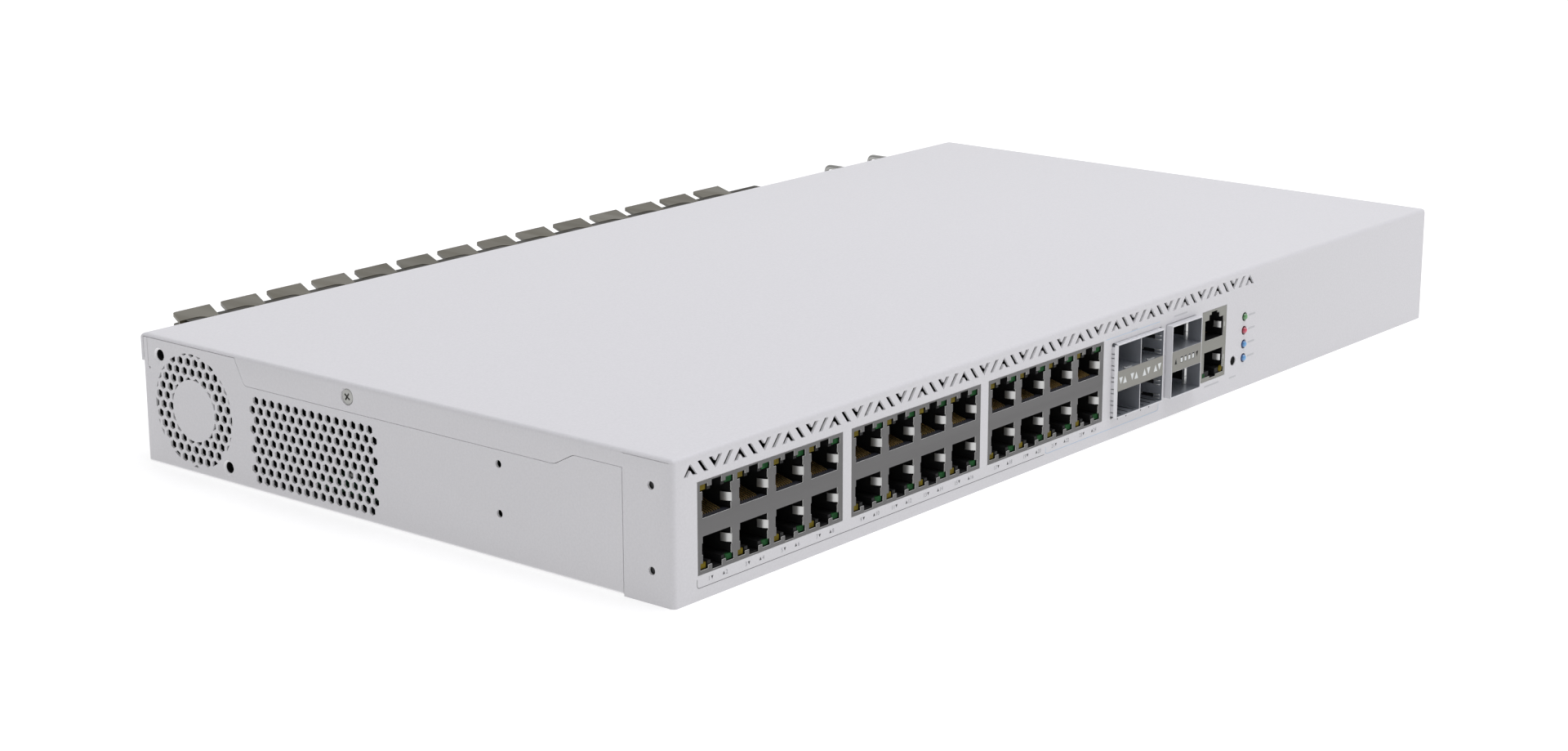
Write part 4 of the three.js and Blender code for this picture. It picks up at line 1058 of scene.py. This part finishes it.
def build_heat_sink():
    (x0, x1), (y0, y1), (z0, z1) = span("rear_heat_sink")
    spine_front, spine_rear = REAR + 11.9, REAR + 15.6
    base = Shape().box((x0 + 4, x1), (spine_front, spine_rear), (z0, z1 - 0.15))
    fins = Shape()
    pitch, width, skew, root, layer_pitch, first = 20.6, 16.1, 0.54, 4.6, 3.8, -188.0
    for layer in range(10):
        top = z1 - layer * layer_pitch
        for i in range(14):
            left = first + i * pitch
            shift = skew * (y1 - spine_rear + 0.5)
            corner = left + width - skew * (y1 - spine_front)
            tab = [(left - shift, spine_rear - 0.5), (left, y1), (left + width, y1),
                (corner, spine_front + 0.1), (corner - root, spine_front + 0.1),
                (left + width - shift - 7.4, spine_rear - 0.5)]
            fins.prism("flat", rounded(tab, 1.8, only={1, 5}), top - 1.1, top)
    bosses = Shape()
    for name in SINK_SCREWS:
        bosses.rod("y", 4.5, REAR + 0.3, spine_front + 0.5, *centre(name, "xz"), sides=32)
    finish(fins, "heat_sink_fins", SINK, replaces=["rear_heat_sink"])
    finish(base, "heat_sink_base", SINK_IN_PAINTED_SHADE)
    finish(bosses, "heat_sink_bosses", SINK_IN_PAINTED_SHADE)


def bent_line(points, radius, steps=8):
    """Points along straight runs with round corners."""
    stops = [Vector(p) for p in points]
    line = [stops[0]]
    for run in zip(stops, stops[1:], stops[2:]):
        line += bend(*run, radius, steps)
    return [*line, stops[-1]]


def build_pipes():
    for side, node in ((-1, "heat_pipe_left"), (0, "heat_pipe_centre"), (1, "heat_pipe_right")):
        (x0, x1), (y0, y1), (z0, z1) = span(node)
        z, run = middle((z0, z1)), y1 - 3
        start_x = x1 - 3 if side < 0 else x0 + 3
        points = [(start_x, y0, z), (start_x, y1 if side == 0 else run, z)]
        if side:
            points.append((x0 if side < 0 else x1, run, z))
        pipe = Shape().tube(bent_line(points, 9), 3, 20)
        finish(pipe, f"{node}_round", COPPER, replaces=[node], sharp=50)


build_heat_sink()
build_pipes()


# ---- Fan ----

def blade(turn, x_middle, y, z):
    """One curved and twisted blade of the impeller, as (verts, faces)."""
    root, reach, chord, steps = 8.2, 17.9, 13, 6
    count = steps + 1
    verts, faces = [], []
    for offset in (0, 0.8):
        for i in range(count):
            radius = root + (reach - root) * i / steps
            pitch = math.radians(58 - 20 * i / steps)
            for j in range(count):
                s = (j / steps - 0.5) * chord
                lift = 1.1 * math.cos(math.pi * (j / steps - 0.5))
                sweep = turn + (s * math.cos(pitch)) / radius
                verts.append((x_middle + s * math.sin(pitch) * 0.9 + lift + offset,
                    y + radius * math.cos(sweep), z + radius * math.sin(sweep)))
    back = count * count
    for i in range(steps):
        for j in range(steps):
            a, b = i * count + j, (i + 1) * count + j
            faces.append([a, a + 1, b + 1, b])
            faces.append([back + a, back + b, back + b + 1, back + a + 1])
    edge = [*range(count), *(i * count + steps for i in range(1, count))]
    edge += [*(steps * count + j for j in range(steps - 1, -1, -1)),
        *(i * count for i in range(steps - 1, 0, -1))]
    for a, b in zip(edge, edge[1:] + edge[:1]):
        faces.append([a, b, b + back, a + back])
    return verts, faces


def build_fan():
    (x0, x1), (y0, y1), (z0, z1) = span("fan_frame")
    y, z = middle((y0, y1)), middle((z0, z1))
    shell = Shape().prism("side", rounded(rectangle(y0, y1, z0, z1), 3), x0, x1).as_object("fan")
    bores = Shape().rod("x", 18.8, x0 - 1, x1 + 1, y, z, sides=64)
    for a, b in ((-1, -1), (-1, 1), (1, -1), (1, 1)):
        bores.rod("x", 1.7, x0 - 1, x1 + 1, y + SCREW_REACH * a, z + SCREW_REACH * b)
    carve(shell, bores)
    finish(shell, "fan_shell", BLACK, replaces=["fan_frame"])
    spider = Shape().rod("x", 8.7, x1 - 1.2, x1, y, z, sides=40)
    for k in range(3):
        angle = math.radians(30 + 120 * k)
        along = Vector((math.cos(angle), math.sin(angle)))
        arm = bar_outline(Vector((y, z)) + along * 8, Vector((y, z)) + along * 19.2, 1.1)
        spider.prism("side", arm, x1 - 1.2, x1)
    finish(spider, "fan_spider", BLACK)

    (hx0, hx1), _, _ = span("fan_impeller")
    hub = Shape().turned("x", [(0, hx0), (7.4, hx0), (8.3, hx0 + 0.5), (8.7, hx0 + 1.6), (8.7, hx1),
        (0, hx1)], y, z, 40)
    finish(hub, "fan_hub", BLACK, body="impeller", replaces=["fan_impeller"])
    blades = Shape()
    for k in range(7):
        blades.add(*blade(2 * math.pi * k / 7, middle((hx0, hx1)), y, z))
    finish(blades, "fan_blades", BLACK, body="impeller", sharp=50)


build_fan()


# ---- Power inlets and cord retainers ----

def build_inlet(letter, inlet):
    (x0, x1), (y0, _), (z0, z1) = inlet
    x, z = middle((x0, x1)), middle((z0, z1))
    node = f"power_inlet_{letter}"
    shell = Shape().prism("front", rounded(rectangle(x0, x1, z0, z1), 1.8), REAR + 0.3, REAR + 2.3)
    body = shell.prism("front", oblong(x, z, 10, 13.5), y0, REAR + 0.35).as_object("inlet")
    socket = [(x - 4.6, z - 12.2), (x + 8.2, z - 12.2), (x + 8.2, z + 12.2), (x - 4.6, z + 12.2),
        (x - 8.2, z + 8.6), (x - 8.2, z - 8.6)]
    carve(body, Shape().prism("front", rounded(socket, 1.0), y0 + 2, REAR + 6))
    finish(body, f"{node}_body", BLACK, replaces=[node])
    pins, lugs = Shape(), Shape()
    for dx, dz in ((2.5, 0), (-2, 7), (-2, -7)):
        pins.box((x + dx - 1, x + dx + 1), (y0 + 1, REAR - 2.6), (z + dz - 2, z + dz + 2))
    finish(pins, f"{node}_pins", ZINC)
    pivot, half, lug_height = REAR + 3.1, 3, 2.6
    outline = [(x - half, REAR + 2.2), (x + half, REAR + 2.2), (x + half, pivot),
        *ring(x, pivot, half, 24)[1:12], (x - half, pivot)]
    for low in (z0, z1 - lug_height):
        lugs.prism("flat", outline, low, low + lug_height)
    hinge = carve(lugs.as_object("lugs"), Shape().rod("z", 1.3, z0 - 1, z1 + 1, x, pivot))
    finish(hinge, f"{node}_lugs", BLACK)


def build_retainer(letter, inlet):
    """The bent wire that holds a cord in its inlet, hinged on its own two ends."""
    node, x, z, wire, hinge_end = f"cord_retainer_{letter}", middle(inlet[0]), middle(inlet[2]), 1, 12.9
    near, far = span(node)[1][0] + wire, span(node)[1][1] - wire
    bottom, top = span(node)[2][0] + wire, span(node)[2][1] - wire
    points = [(x, near, z + hinge_end), (x, near, top), (x, far, top), (x, far, bottom),
        (x, near, bottom), (x, near, z - hinge_end)]
    finish(Shape().tube(bent_line(points, 2.6, 6), wire, 16), f"{node}_wire", ZINC,
        body=f"retainer_{letter}", replaces=[node], sharp=60)


for letter, inlet in zip("ab", INLETS):
    build_inlet(letter, inlet)
    build_retainer(letter, inlet)


# ---- Finishes of the pieces kept from the CAD ----

def dress_frame():
    finishes = (
        (PALE_JACK, "stacked_jack_shield"), (BLACK, "stacked_jack_housing status_led_holder"),
        (CAGE, "small_module_cage large_module_cage"), (JACK, "port_block_1_shield"),
        (JACK, "port_block_2_shield port_block_3_shield"), (ZINC, "reset_switch"),
        (WINDOW, "small_module_light_pipe large_module_light_pipe"), (COPPER, "cold_plate"),
        (BOARD, "main_board supply_a_board supply_b_board"), (ALUMINIUM, "processor_heat_sink"),
        (CHIP, "switch_chip processor_chip supply_a_capacitor supply_b_capacitor"),
        (TAPE, "supply_a_transformer supply_b_transformer"), (NYLON, "fan_plug supply_plug"),
        (LEAD_BLACK, "fan_lead mains_lead_a mains_lead_b"), (LEAD_RED, "supply_lead_a supply_lead_b"),
    )
    for material, names in finishes:
        for name in names.split():
            dress(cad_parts[name], material)


dress_frame()


# ---- Floor, light ----

def add_area(name, place, size, power, color=(1, 1, 1)):
    """A rectangular lamp that points at the origin."""
    data = bpy.data.lights.new(name, "AREA")
    data.shape = "RECTANGLE"
    data.size, data.size_y = size
    data.energy = power
    data.color = color
    light = new_object(name, data)
    light.location = place
    light.rotation_euler = (-Vector(place)).to_track_quat("-Z", "Y").to_euler()


def build_studio():
    half = 6.0
    floor = Shape().box((-half / MM, half / MM), (-half / MM, half / MM), (-30, BOTTOM - 0.05))
    obj = floor.as_object("studio_floor")
    white = surface("studio_floor", (0.45, 0.45, 0.45), 0.6, grain=40, relief=0.02, shade=0.004, patch=2)
    shader = white.node_tree.nodes["Principled BSDF"]
    shader.inputs["Emission Color"].default_value = (1, 1, 1, 1)
    shader.inputs["Emission Strength"].default_value = 0.63
    obj.data.materials.append(white)
    world = bpy.data.worlds.new("studio")
    world.use_nodes = True
    tree = world.node_tree
    background = tree.nodes["Background"]
    background.inputs["Color"].default_value = (1, 1, 1, 1)
    east, north, _ = split(tree, "Generated")
    strength, more_east, more_north = 0.6, 0.25, 0.13
    leaning = math_node(tree, "MULTIPLY_ADD", east, more_east, strength)
    leaning = math_node(tree, "MULTIPLY_ADD", north, more_north, leaning)
    feed(tree, background.inputs["Strength"], leaning)
    bpy.context.scene.world = world
    add_area("key", (0.7, -1.1, 4.85), (4.0, 3.4), 138, (0.97, 0.972, 1.03))
    add_area("left_highlight", (-2.0, -1.2, 0.9), (0.25, 0.25), 0.6)
    bpy.context.scene.view_settings.view_transform = "Standard"


build_studio()
